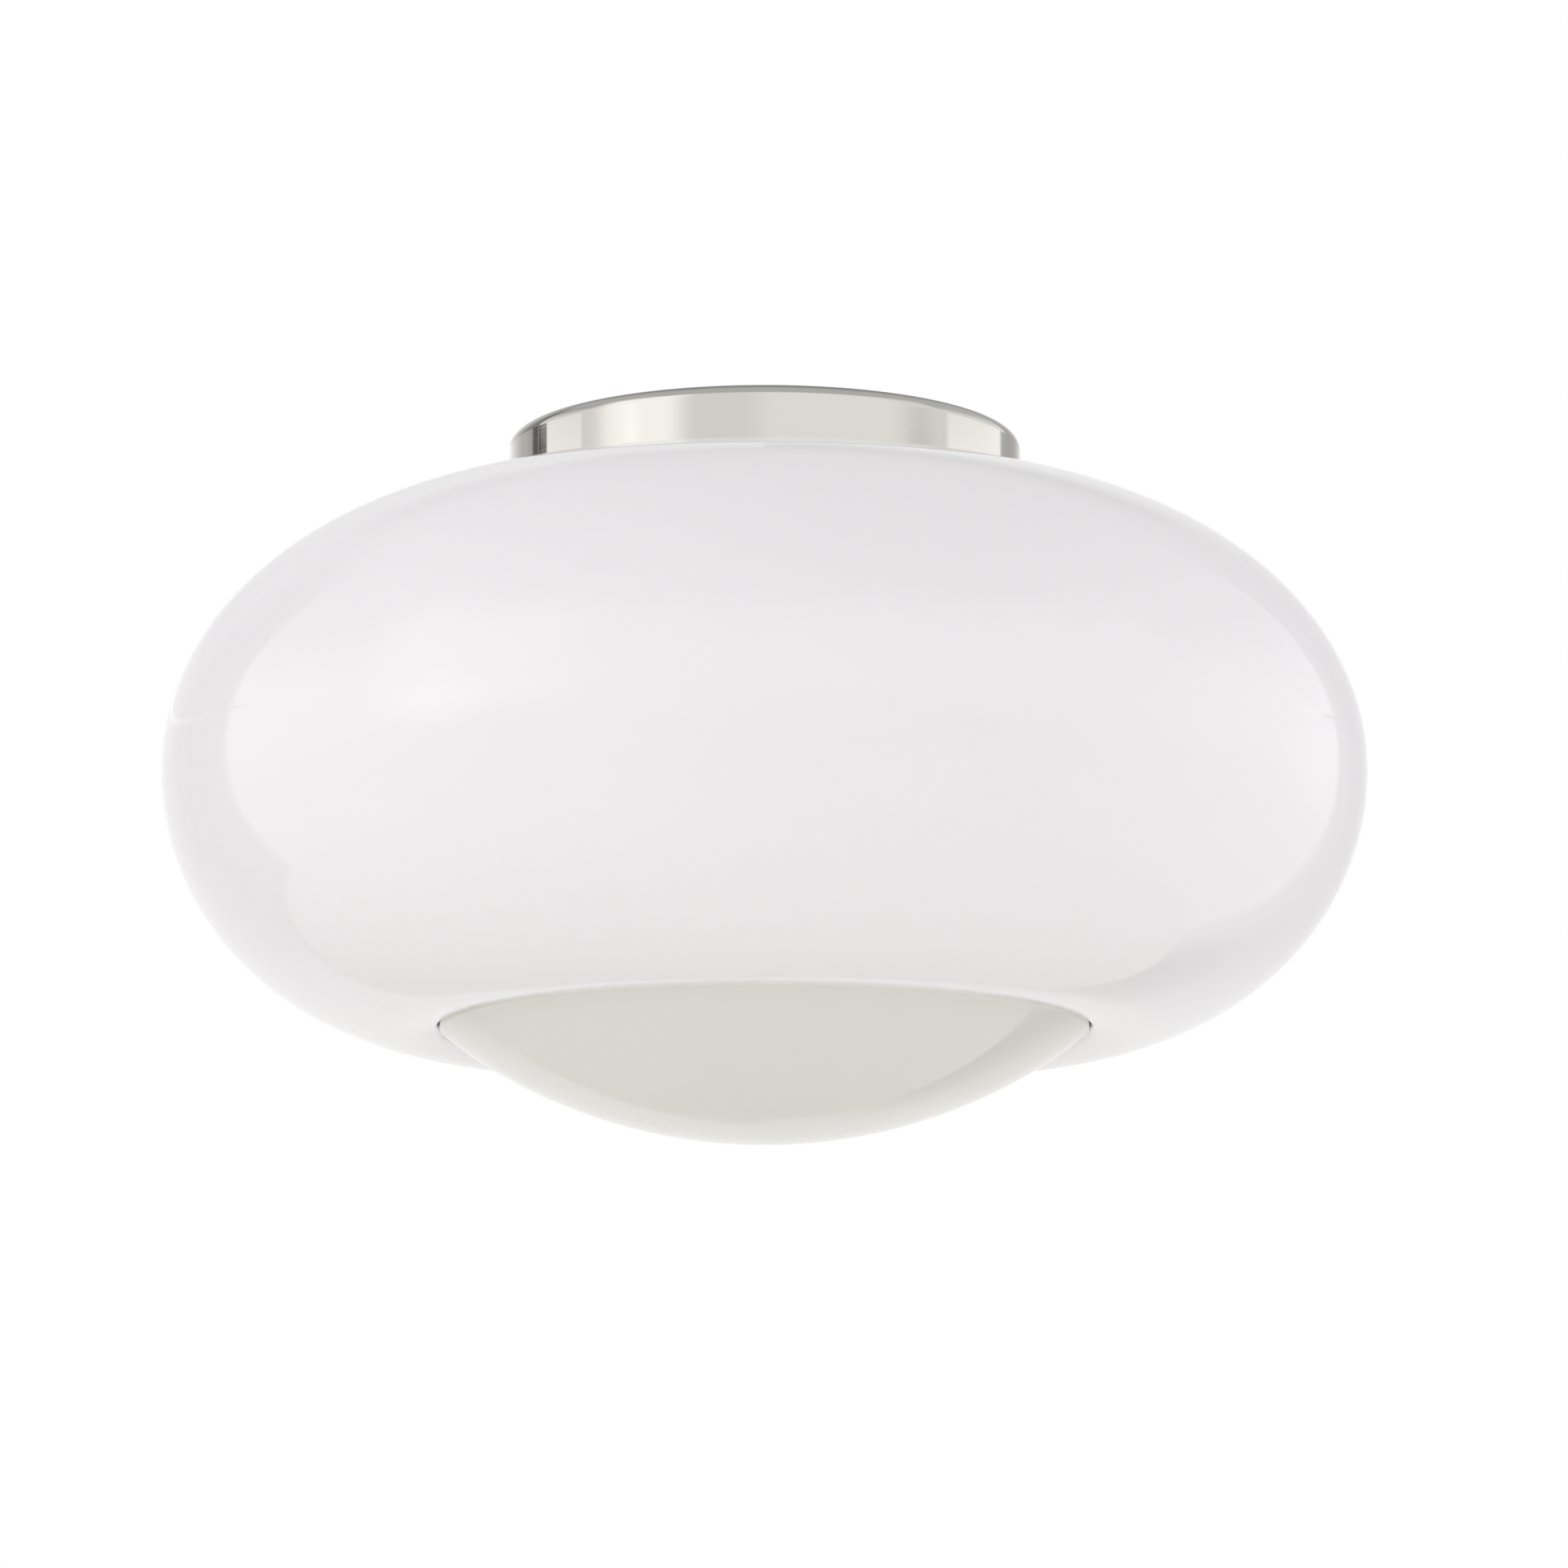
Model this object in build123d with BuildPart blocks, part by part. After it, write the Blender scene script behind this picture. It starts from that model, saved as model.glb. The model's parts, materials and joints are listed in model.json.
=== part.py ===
"""Flush ceiling light: an opal glass shade under a polished canopy, closed by a glass dome.

Millimetres. The origin is the middle of the ceiling face, +Z points up into the ceiling,
and the whole light hangs below Z = 0. The two lamps lie along the X axis.
"""

import os
from math import acos, asin, atan2, cos, degrees, hypot, radians, sin, sqrt

from build123d import *

# Shade: a flattened opal glass globe with a flat crown and a lip that curls in at the mouth
shade_diameter = 355.6
shade_wall = 3.5
shade_upper_rise = 82.8
shade_lower_drop = 80.4
crown_hole_diameter = 114.3
mouth_diameter = 192.0
lip_radius = 37.0
lip_reach = 22.8
lower_center_inset = 4.8

# Canopy: the drawn metal pan that stands on the ceiling
canopy_diameter = 152.4
canopy_depth = 17.6
canopy_wall = 1.2
canopy_edge_radius = 3.8
canopy_foot_width = 6.0
canopy_foot_radius = 0.8
crown_seat_inset = 4.2
gasket_thickness = 1.0

# Ceiling fixing and cable entry
slot_spacing = 79.4
slot_length = 24.0
slot_width = 5.0
entry_bore = 16.0
bush_wall = 1.4
bush_depth = 4.0
bush_flange_width = 2.5
bush_flange_thickness = 1.5

# Support plate that clamps the crown of the shade from inside
pad_thickness = 1.5
pad_width = 7.0
pad_inset = 5.0
plate_thickness = 2.0
plate_margin = 8.0
stud_diameter = 5.0
stud_circle_diameter = 88.0
stud_count = 3
stud_head_diameter = 9.0
stud_head_thickness = 1.4
stud_tail = 3.0
washer_diameter = 12.0
washer_thickness = 1.0
thumb_nut_diameter = 16.0
thumb_nut_height = 8.0
thumb_nut_flutes = 12
thumb_nut_flute_radius = 1.2

# Terminal block in the canopy
block_length = 36.0
block_width = 18.0
block_height = 14.0
block_offset = 25.0
block_corner = 1.5
pole_pitch = 10.0
pole_width = 6.6
pole_height = 6.0
pole_length = 14.0
pole_bore = 4.8
clamp_screw_diameter = 3.0
clamp_screw_head = 3.6
clamp_screw_spacing = 8.0
fixing_screw_diameter = 3.0
fixing_screw_head = 5.2
earth_screw_diameter = 4.0
earth_screw_head = 7.2
earth_link_width = 4.0
earth_link_thickness = 0.8
earth_link_foot = 12.4
earth_link_tongue = 6.0

# Lamp bracket and lampholders
lamp_level_below_plate = 58.4
bracket_half_span = 15.5
bracket_thickness = 1.5
bracket_width = 48.0
bracket_bend_radius = 2.0
bracket_leg_below_axis = 20.0
wire_hole_diameter = 21.2
plate_bush_wall = 1.8
plate_bush_flange = 2.0
plate_bush_flange_thickness = 1.5
bracket_screw_spacing = 38.0
small_screw_diameter = 4.0
small_screw_head = 7.0
small_screw_head_height = 2.4
nut_across_flats = 7.0
nut_height = 3.2
holder_diameter = 39.0
holder_back = 9.5
holder_depth = 27.5
holder_screw_spacing = 26.0
holder_screw_bite = 7.0
holder_edge_radius = 1.5
shell_thickness = 0.5
shell_lip_setback = 1.5
shell_back_opening = 14.0
contact_thickness = 0.5
contact_width = 5.0
contact_reach = 3.0

# Wires from the lampholders to the terminal block
wire_diameter = 2.0
wire_pair_spacing = 16.0
wire_side_spacing = 3.0
wire_entry_depth = 8.7
wire_lower_bend = 10.0
wire_upper_bend = 9.0
wire_pole_bend = 6.0
wire_pole_lead = 5.0
wire_pole_spacing = 2.2

# Screw-in lamp, medium screw cap
lamp_cap_diameter = 26.0
lamp_cap_start = 4.0
lamp_cap_end = 27.0
lamp_cap_wall = 0.6
lamp_tip_diameter = 9.0
lamp_tip_height = 2.0
lamp_tip_stem_diameter = 4.0
lamp_tip_stem_length = 4.0
lamp_globe_diameter = 60.0
lamp_globe_wall = 1.2
lamp_globe_setback = 16.0
lamp_housing_wall = 2.0
lamp_board_thickness = 1.6
lamp_length = 108.0

# Dome diffuser and the carrier that holds it
dome_depth = 32.4
dome_gap = 0.6
dome_wall = 3.0
dome_collar_height = 11.7
dome_edge_radius = 1.2
bond_thickness = 0.3
bond_end_inset = 1.0
ring_thickness = 1.0
ring_depth = 9.0
ring_flange_width = 4.5
seat_height = 2.0
seat_width = 4.0
carrier_thickness = 2.0
carrier_width = 12.3
carrier_ear_width = 14.0
rod_inset = 12.4
rod_diameter = 5.0
rod_end_diameter = 4.0
rod_count = 4
clip_count = 4
clip_width = 12.0
clip_thickness = 0.6
clip_bend_radius = 1.0
clip_foot = 7.0
clip_nose = 2.8
clip_nose_drop = 2.4
clip_tail_drop = 6.0
rivet_diameter = 2.4
rivet_head_diameter = 4.4
rivet_head_height = 0.8

# Clearances
fixed_fit = 0.05
running_gap = 0.3
clip_gap = 0.9
wire_clearance = 0.5
hidden_end = 0.1

# Levels from the ceiling down to the support plate
canopy_under = -canopy_wall
canopy_bottom = -canopy_depth
crown_top = canopy_bottom - gasket_thickness
crown_under = crown_top - shade_wall
plate_top = crown_under - pad_thickness
plate_under = plate_top - plate_thickness
equator_level = crown_top - shade_upper_rise
lamp_level = plate_under - lamp_level_below_plate
pole_level = canopy_under - block_height / 2

# Shade outline: two ellipses that share the equator, then a lip arc tangent to the lower one
shade_radius = shade_diameter / 2
canopy_radius = canopy_diameter / 2
pan_inner = canopy_radius - canopy_wall
mouth_radius = mouth_diameter / 2
crown_flat = canopy_radius - crown_seat_inset
upper_span = shade_radius - crown_flat
lower_center = mouth_radius - lower_center_inset
lower_span = shade_radius - lower_center
break_angle = acos((lip_reach + lower_center_inset) / lower_span)
break_radius = mouth_radius + lip_reach
break_level = equator_level - shade_lower_drop * sin(break_angle)
break_slope = atan2(shade_lower_drop * cos(break_angle), lower_span * sin(break_angle))
lip_center_radius = break_radius - lip_radius * sin(break_slope)
lip_center_level = break_level + lip_radius * cos(break_slope)
lip_mid_radius = lip_radius - shade_wall / 2
lip_swing = asin((lip_center_radius - mouth_radius) / hypot(lip_mid_radius, shade_wall / 2))
rim_angle = lip_swing - atan2(shade_wall / 2, lip_mid_radius)
rim_level = lip_center_level - lip_radius * cos(rim_angle)


def lip_point(radius):
    """Point of the rim at this distance from the centre of the lip arc."""
    return (lip_center_radius - radius * sin(rim_angle), lip_center_level - radius * cos(rim_angle))


def lower_point(inward):
    """End of the lower ellipse, this far inside the outer skin."""
    return (
        lower_center + (lower_span - inward) * cos(break_angle),
        equator_level - (shade_lower_drop - inward) * sin(break_angle),
    )


def lower_tangent(inward):
    """Direction of the lower ellipse at its end, towards the mouth."""
    return (-(lower_span - inward) * sin(break_angle), -(shade_lower_drop - inward) * cos(break_angle))


# Dome: a spherical cap on a short upright collar that stands in the mouth
dome_radius = mouth_radius - dome_gap
dome_sphere = (dome_radius**2 + dome_depth**2) / (2 * dome_depth)
dome_bottom = rim_level - dome_depth
dome_center = dome_bottom + dome_sphere
dome_inner_sphere = dome_sphere - dome_wall
collar_top = rim_level + dome_collar_height
collar_inner = dome_radius - dome_wall
dome_inner_edge = dome_center - sqrt(dome_inner_sphere**2 - collar_inner**2)

# Ring bonded into the collar, and the carrier above it
ring_outer = collar_inner - bond_thickness
ring_inner = ring_outer - ring_thickness
flange_inner = ring_inner - ring_flange_width
flange_under = collar_top - ring_thickness
seat_under = collar_top + running_gap
carrier_under = seat_under + seat_height
carrier_top = carrier_under + carrier_thickness
carrier_outer = ring_outer - hidden_end
carrier_inner = carrier_outer - carrier_width
rod_circle = flange_inner - rod_inset
clip_line = flange_inner - clip_gap - clip_thickness / 2

# Clamp that holds the shade
pad_outer = canopy_radius - pad_inset
pad_inner = pad_outer - pad_width
plate_radius = max(rod_circle, pad_outer) + plate_margin
nut_top = plate_under - washer_thickness
stud_end = nut_top - thumb_nut_height - stud_tail

# Lamp stations along X, measured outward from the middle of the light
holder_rear = bracket_half_span
holder_floor = holder_rear + holder_back
holder_front = holder_floor + holder_depth
shell_inner = lamp_cap_diameter / 2 + running_gap
shell_outer = shell_inner + shell_thickness
holder_bore = shell_outer + fixed_fit
contact_face = holder_floor + contact_reach + contact_thickness
lamp_start = contact_face + running_gap
bracket_inner = bracket_half_span - bracket_thickness
web_under = plate_under - bracket_thickness
wire_radius = wire_diameter / 2
bush_outer = wire_hole_diameter / 2 + plate_bush_wall
sides = (("left", -1), ("right", 1))


def radial_plane(angle):
    """Upright plane through the middle: X runs outward at this angle, Y runs up."""
    turn = radians(angle)
    return Plane(origin=(0, 0, 0), x_dir=(cos(turn), sin(turn), 0), z_dir=(sin(turn), -cos(turn), 0))


def lamp_plane(sign):
    """Upright plane through a lamp axis: X runs outward along the lamp, Y runs up."""
    return Plane(origin=(0, 0, lamp_level), x_dir=(sign, 0, 0), z_dir=(0, -sign, 0))


def station_plane(sign, distance):
    """Plane across a lamp axis, this far out, facing outward."""
    return Plane(origin=(sign * distance, 0, lamp_level), x_dir=(0, 1, 0), z_dir=(sign, 0, 0))


lamp_axis = Axis((0, 0, lamp_level), (1, 0, 0))
os.makedirs("parts", exist_ok=True)

# Canopy: drawn pan, closed towards the ceiling, with a turned-in foot on the shade
with BuildPart() as canopy:
    with BuildSketch(Plane.XZ):
        with BuildLine():
            Polyline(
                (0, 0),
                (canopy_radius, 0),
                (canopy_radius, canopy_bottom),
                (canopy_radius - canopy_foot_width, canopy_bottom),
                (canopy_radius - canopy_foot_width, canopy_bottom + canopy_wall),
                (pan_inner, canopy_bottom + canopy_wall),
                (pan_inner, canopy_under),
                (0, canopy_under),
                close=True,
            )
        make_face()
    revolve(axis=Axis.Z)
    rims = canopy.edges().filter_by(GeomType.CIRCLE).filter_by(lambda e: e.radius > canopy_radius - fixed_fit)
    fillet(rims.sort_by(Axis.Z)[-1:], radius=canopy_edge_radius)
    rims = canopy.edges().filter_by(GeomType.CIRCLE).filter_by(lambda e: e.radius > canopy_radius - fixed_fit)
    fillet(rims.sort_by(Axis.Z)[:1], radius=canopy_foot_radius)
    rounds = canopy.edges().filter_by(GeomType.CIRCLE)
    bends = rounds.filter_by(lambda e: abs(e.radius - pan_inner) < fixed_fit)
    fillet(bends.sort_by(Axis.Z)[-1:], radius=canopy_edge_radius - canopy_wall)
    with BuildSketch():
        Circle(entry_bore / 2 + bush_wall + fixed_fit)
        with GridLocations(slot_spacing, 0, 2, 1):
            SlotOverall(slot_length, slot_width)
        with PolarLocations(stud_circle_diameter / 2, stud_count, start_angle=90):
            Circle(stud_diameter / 2 + fixed_fit)
        with Locations((0, -block_offset - block_width / 2)):
            with GridLocations(pole_pitch, 0, 2, 1):
                Circle(fixing_screw_diameter / 2 + fixed_fit)
        with Locations((0, -block_offset + earth_link_foot / 2)):
            Circle(earth_screw_diameter / 2 + fixed_fit)
    extrude(amount=-canopy_wall, mode=Mode.SUBTRACT)
canopy.part.label = "canopy"
export_step(canopy.part, "parts/canopy.step")

# Cable bush in the middle of the canopy, flange inside
with BuildPart() as wire_bush:
    with BuildSketch():
        Circle(entry_bore / 2 + bush_wall)
    extrude(amount=-bush_depth)
    with BuildSketch(Plane.XY.offset(canopy_under)):
        Circle(entry_bore / 2 + bush_wall + bush_flange_width)
    extrude(amount=-bush_flange_thickness)
    Hole(entry_bore / 2)
wire_bush.part.label = "wire_bush"
export_step(wire_bush.part, "parts/wire_bush.step")

# Studs that carry the shade, flush with the ceiling face
with BuildPart() as shade_studs:
    with BuildSketch():
        with PolarLocations(stud_circle_diameter / 2, stud_count, start_angle=90):
            Circle(stud_diameter / 2)
    extrude(amount=stud_end)
    chamfer(shade_studs.edges().group_by(Axis.Z)[0], length=stud_diameter / 8)
    with BuildSketch(Plane.XY.offset(canopy_under)):
        with PolarLocations(stud_circle_diameter / 2, stud_count, start_angle=90):
            Circle(stud_head_diameter / 2)
    extrude(amount=-stud_head_thickness)
shade_studs.part.label = "shade_studs"
export_step(shade_studs.part, "parts/shade_studs.step")

# Soft gasket between the foot of the canopy and the crown of the shade
with BuildPart() as canopy_gasket:
    with BuildSketch(Plane.XY.offset(canopy_bottom)):
        Circle(canopy_radius - canopy_foot_radius)
        Circle(canopy_radius - canopy_foot_width, mode=Mode.SUBTRACT)
    extrude(amount=-gasket_thickness)
canopy_gasket.part.label = "canopy_gasket"
export_step(canopy_gasket.part, "parts/canopy_gasket.step")

# Shade: opal glass of even wall, open at the crown and at the mouth
with BuildPart() as shade:
    with BuildSketch(Plane.XZ):
        with BuildLine():
            EllipticalCenterArc(
                (crown_flat, equator_level), upper_span, shade_upper_rise, start_angle=0, arc_size=90
            )
            EllipticalCenterArc(
                (lower_center, equator_level),
                lower_span,
                shade_lower_drop,
                start_angle=-degrees(break_angle),
                arc_size=degrees(break_angle),
            )
            TangentArc(lower_point(0), lip_point(lip_radius), tangent=lower_tangent(0))
            rim_middle = Vector(*lip_point(lip_mid_radius))
            rim_tip = rim_middle + Vector(-cos(rim_angle), sin(rim_angle)) * (shade_wall / 2)
            ThreePointArc(lip_point(lip_radius), rim_tip, lip_point(lip_radius - shade_wall))
            TangentArc(
                lower_point(shade_wall), lip_point(lip_radius - shade_wall), tangent=lower_tangent(shade_wall)
            )
            EllipticalCenterArc(
                (lower_center, equator_level),
                lower_span - shade_wall,
                shade_lower_drop - shade_wall,
                start_angle=-degrees(break_angle),
                arc_size=degrees(break_angle),
            )
            EllipticalCenterArc(
                (crown_flat, equator_level),
                upper_span - shade_wall,
                shade_upper_rise - shade_wall,
                start_angle=0,
                arc_size=90,
            )
            Polyline(
                (crown_flat, crown_under),
                (crown_hole_diameter / 2, crown_under),
                (crown_hole_diameter / 2, crown_top),
                (crown_flat, crown_top),
            )
        make_face()
    revolve(axis=Axis.Z)
shade.part.label = "shade"
export_step(shade.part, "parts/shade.step")

# Soft pad between the support plate and the inside of the crown
with BuildPart() as shade_pad:
    with BuildSketch(Plane.XY.offset(crown_under)):
        Circle(pad_outer)
        Circle(pad_inner, mode=Mode.SUBTRACT)
    extrude(amount=-pad_thickness)
shade_pad.part.label = "shade_pad"
export_step(shade_pad.part, "parts/shade_pad.step")

# Support plate: holds the crown up, and carries the lamps and the dome
with BuildPart() as support_plate:
    with BuildSketch(Plane.XY.offset(plate_top)):
        Circle(plate_radius)
        Circle(bush_outer + fixed_fit, mode=Mode.SUBTRACT)
        with PolarLocations(stud_circle_diameter / 2, stud_count, start_angle=90):
            Circle(stud_diameter / 2 + fixed_fit, mode=Mode.SUBTRACT)
        with PolarLocations(rod_circle, rod_count, start_angle=45):
            Circle(rod_end_diameter / 2 + fixed_fit, mode=Mode.SUBTRACT)
        with GridLocations(0, bracket_screw_spacing, 1, 2):
            Circle(small_screw_diameter / 2 + fixed_fit, mode=Mode.SUBTRACT)
    extrude(amount=-plate_thickness)
support_plate.part.label = "support_plate"
export_step(support_plate.part, "parts/support_plate.step")

# Washers under the thumb nuts
with BuildPart() as stud_washers:
    with BuildSketch(Plane.XY.offset(plate_under)):
        with PolarLocations(stud_circle_diameter / 2, stud_count, start_angle=90):
            Circle(washer_diameter / 2)
            Circle(stud_diameter / 2 + fixed_fit, mode=Mode.SUBTRACT)
    extrude(amount=-washer_thickness)
stud_washers.part.label = "stud_washers"
export_step(stud_washers.part, "parts/stud_washers.step")

# Thumb nuts with fluted rims
with BuildPart() as thumb_nuts:
    with BuildSketch(Plane.XY.offset(nut_top)):
        with PolarLocations(stud_circle_diameter / 2, stud_count, start_angle=90):
            Circle(thumb_nut_diameter / 2)
            Circle(stud_diameter / 2 + fixed_fit, mode=Mode.SUBTRACT)
            with PolarLocations(thumb_nut_diameter / 2, thumb_nut_flutes):
                Circle(thumb_nut_flute_radius, mode=Mode.SUBTRACT)
    extrude(amount=-thumb_nut_height)
thumb_nuts.part.label = "thumb_nuts"
export_step(thumb_nuts.part, "parts/thumb_nuts.step")

# Terminal block under the canopy, with a channel and two screw holes for each pole
block_middle = -block_offset - block_width / 2
with BuildPart() as terminal_block:
    with BuildSketch(Plane.XY.offset(canopy_under)):
        with Locations((0, block_middle)):
            RectangleRounded(block_length, block_width, block_corner)
    extrude(amount=-block_height)
    with BuildSketch(Plane.XZ.offset(block_offset)):
        with Locations((0, pole_level)):
            with GridLocations(pole_pitch, 0, 3, 1):
                Rectangle(pole_width + 2 * fixed_fit, pole_height + 2 * fixed_fit)
    extrude(amount=block_width, mode=Mode.SUBTRACT)
    with BuildSketch(Plane.XY.offset(canopy_under - block_height)):
        with Locations((0, block_middle)):
            with GridLocations(pole_pitch, clamp_screw_spacing, 3, 2):
                Circle(clamp_screw_head / 2 + fixed_fit)
    extrude(amount=block_height / 2, mode=Mode.SUBTRACT)
    with BuildSketch(Plane.XY.offset(canopy_under)):
        with Locations((0, block_middle)):
            with GridLocations(pole_pitch, 0, 2, 1):
                Circle(fixing_screw_diameter / 2 + fixed_fit)
    extrude(amount=-block_height, mode=Mode.SUBTRACT)
terminal_block.part.label = "terminal_block"
export_step(terminal_block.part, "parts/terminal_block.step")

# Brass poles in the block
with BuildPart() as terminal_poles:
    with BuildSketch(Plane.XZ.offset(block_offset + (block_width - pole_length) / 2)):
        with Locations((0, pole_level)):
            with GridLocations(pole_pitch, 0, 3, 1):
                Rectangle(pole_width, pole_height)
                Circle(pole_bore / 2, mode=Mode.SUBTRACT)
    extrude(amount=pole_length)
    with BuildSketch(Plane.XY.offset(pole_level)):
        with Locations((0, block_middle)):
            with GridLocations(pole_pitch, clamp_screw_spacing, 3, 2):
                Circle(clamp_screw_diameter / 2 + fixed_fit)
    extrude(amount=-pole_height, mode=Mode.SUBTRACT)
terminal_poles.part.label = "terminal_poles"
export_step(terminal_poles.part, "parts/terminal_poles.step")

# Clamp screws of the poles, backed off to just below the wires
with BuildPart() as terminal_screws:
    with BuildSketch(Plane.XY.offset(canopy_under - block_height + hidden_end)):
        with Locations((0, block_middle)):
            with GridLocations(pole_pitch, clamp_screw_spacing, 3, 2):
                Circle(clamp_screw_head / 2)
    extrude(amount=(block_height - pole_height) / 2 - 2 * hidden_end)
    with BuildSketch(Plane.XY.offset(pole_level - pole_height / 2 - hidden_end)):
        with Locations((0, block_middle)):
            with GridLocations(pole_pitch, clamp_screw_spacing, 3, 2):
                Circle(clamp_screw_diameter / 2)
    extrude(amount=(pole_height - pole_bore) / 2 + hidden_end)
terminal_screws.part.label = "terminal_screws"
export_step(terminal_screws.part, "parts/terminal_screws.step")

# Screws that hold the block to the canopy
with BuildPart() as block_screws:
    with BuildSketch(Plane.XY.offset(-hidden_end)):
        with Locations((0, block_middle)):
            with GridLocations(pole_pitch, 0, 2, 1):
                Circle(fixing_screw_diameter / 2)
    extrude(amount=canopy_under - block_height + hidden_end)
    with BuildSketch(Plane.XY.offset(canopy_under - block_height)):
        with Locations((0, block_middle)):
            with GridLocations(pole_pitch, 0, 2, 1):
                Circle(fixing_screw_head / 2)
    extrude(amount=-fixing_screw_diameter / 2)
block_screws.part.label = "block_screws"
export_step(block_screws.part, "parts/block_screws.step")

# Earth link: brass strip from the middle pole to the canopy
link_middle = earth_link_thickness / 2
with BuildPart() as earth_link:
    with BuildSketch(Plane.YZ):
        with BuildLine():
            Polyline(
                (-block_offset + earth_link_foot, canopy_under - link_middle),
                (-block_offset + link_middle, canopy_under - link_middle),
                (-block_offset + link_middle, pole_level),
                (-block_offset - earth_link_tongue, pole_level),
            )
        trace(line_width=earth_link_thickness)
    extrude(amount=earth_link_width / 2, both=True)
    with BuildSketch(Plane.XY.offset(canopy_under)):
        with Locations((0, -block_offset + earth_link_foot / 2)):
            Circle((earth_screw_head + earth_link_width) / 2)
    extrude(amount=-earth_link_thickness)
    with BuildSketch(Plane.XY.offset(canopy_under)):
        with Locations((0, -block_offset + earth_link_foot / 2)):
            Circle(earth_screw_diameter / 2 + fixed_fit)
    extrude(amount=-earth_link_thickness, mode=Mode.SUBTRACT)
earth_link.part.label = "earth_link"
export_step(earth_link.part, "parts/earth_link.step")

# Earth screw
with BuildPart() as earth_screw:
    with BuildSketch(Plane.XY.offset(-hidden_end)):
        with Locations((0, -block_offset + earth_link_foot / 2)):
            Circle(earth_screw_diameter / 2)
    extrude(amount=canopy_under - earth_link_thickness + hidden_end)
    with BuildSketch(Plane.XY.offset(canopy_under - earth_link_thickness)):
        with Locations((0, -block_offset + earth_link_foot / 2)):
            Circle(earth_screw_head / 2)
    extrude(amount=-small_screw_head_height)
earth_screw.part.label = "earth_screw"
export_step(earth_screw.part, "parts/earth_screw.step")

# Lamp bracket: strap bent to a U, its web under the plate and a lampholder on each leg
bracket_line = bracket_half_span - bracket_thickness / 2
web_line = plate_under - bracket_thickness / 2
leg_end = lamp_level - bracket_leg_below_axis
with BuildPart() as lamp_bracket:
    with BuildSketch(Plane.XZ):
        with BuildLine():
            FilletPolyline(
                (-bracket_line, leg_end),
                (-bracket_line, web_line),
                (bracket_line, web_line),
                (bracket_line, leg_end),
                radius=bracket_bend_radius,
            )
        trace(line_width=bracket_thickness)
    extrude(amount=bracket_width / 2, both=True)
    with BuildSketch(Plane.XY.offset(plate_under)):
        Circle(bush_outer + fixed_fit)
        with GridLocations(0, bracket_screw_spacing, 1, 2):
            Circle(small_screw_diameter / 2 + fixed_fit)
    extrude(amount=-bracket_thickness, mode=Mode.SUBTRACT)
    with BuildSketch(station_plane(1, 0)):
        with GridLocations(wire_pair_spacing, 0, 2, 1):
            Circle(wire_radius + wire_clearance)
        with GridLocations(0, holder_screw_spacing, 1, 2):
            Circle(small_screw_diameter / 2 + fixed_fit)
    extrude(amount=bracket_half_span, both=True, mode=Mode.SUBTRACT)
lamp_bracket.part.label = "lamp_bracket"
export_step(lamp_bracket.part, "parts/lamp_bracket.step")

# Soft bush that takes the wires through the plate and the bracket
with BuildPart() as plate_bush:
    with BuildSketch(Plane.XY.offset(plate_top)):
        Circle(bush_outer)
    extrude(amount=web_under - plate_top)
    with BuildSketch(Plane.XY.offset(plate_top)):
        Circle(bush_outer + plate_bush_flange)
    extrude(amount=plate_bush_flange_thickness)
    Hole(wire_hole_diameter / 2)
plate_bush.part.label = "plate_bush"
export_step(plate_bush.part, "parts/plate_bush.step")

# Screws and nuts that hold the bracket to the plate
with BuildPart() as bracket_screws:
    with BuildSketch(Plane.XY.offset(web_under)):
        with GridLocations(0, bracket_screw_spacing, 1, 2):
            Circle(small_screw_head / 2)
    extrude(amount=-small_screw_head_height)
    fillet(bracket_screws.edges().group_by(Axis.Z)[0], radius=small_screw_head_height / 3)
    with BuildSketch(Plane.XY.offset(web_under)):
        with GridLocations(0, bracket_screw_spacing, 1, 2):
            Circle(small_screw_diameter / 2)
    extrude(amount=bracket_thickness + plate_thickness + nut_height)
bracket_screws.part.label = "bracket_screws"
export_step(bracket_screws.part, "parts/bracket_screws.step")

with BuildPart() as bracket_nuts:
    with BuildSketch(Plane.XY.offset(plate_top)):
        with GridLocations(0, bracket_screw_spacing, 1, 2):
            RegularPolygon(nut_across_flats / 2, 6, major_radius=False)
            Circle(small_screw_diameter / 2 + fixed_fit, mode=Mode.SUBTRACT)
    extrude(amount=nut_height)
bracket_nuts.part.label = "bracket_nuts"
export_step(bracket_nuts.part, "parts/bracket_nuts.step")

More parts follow.
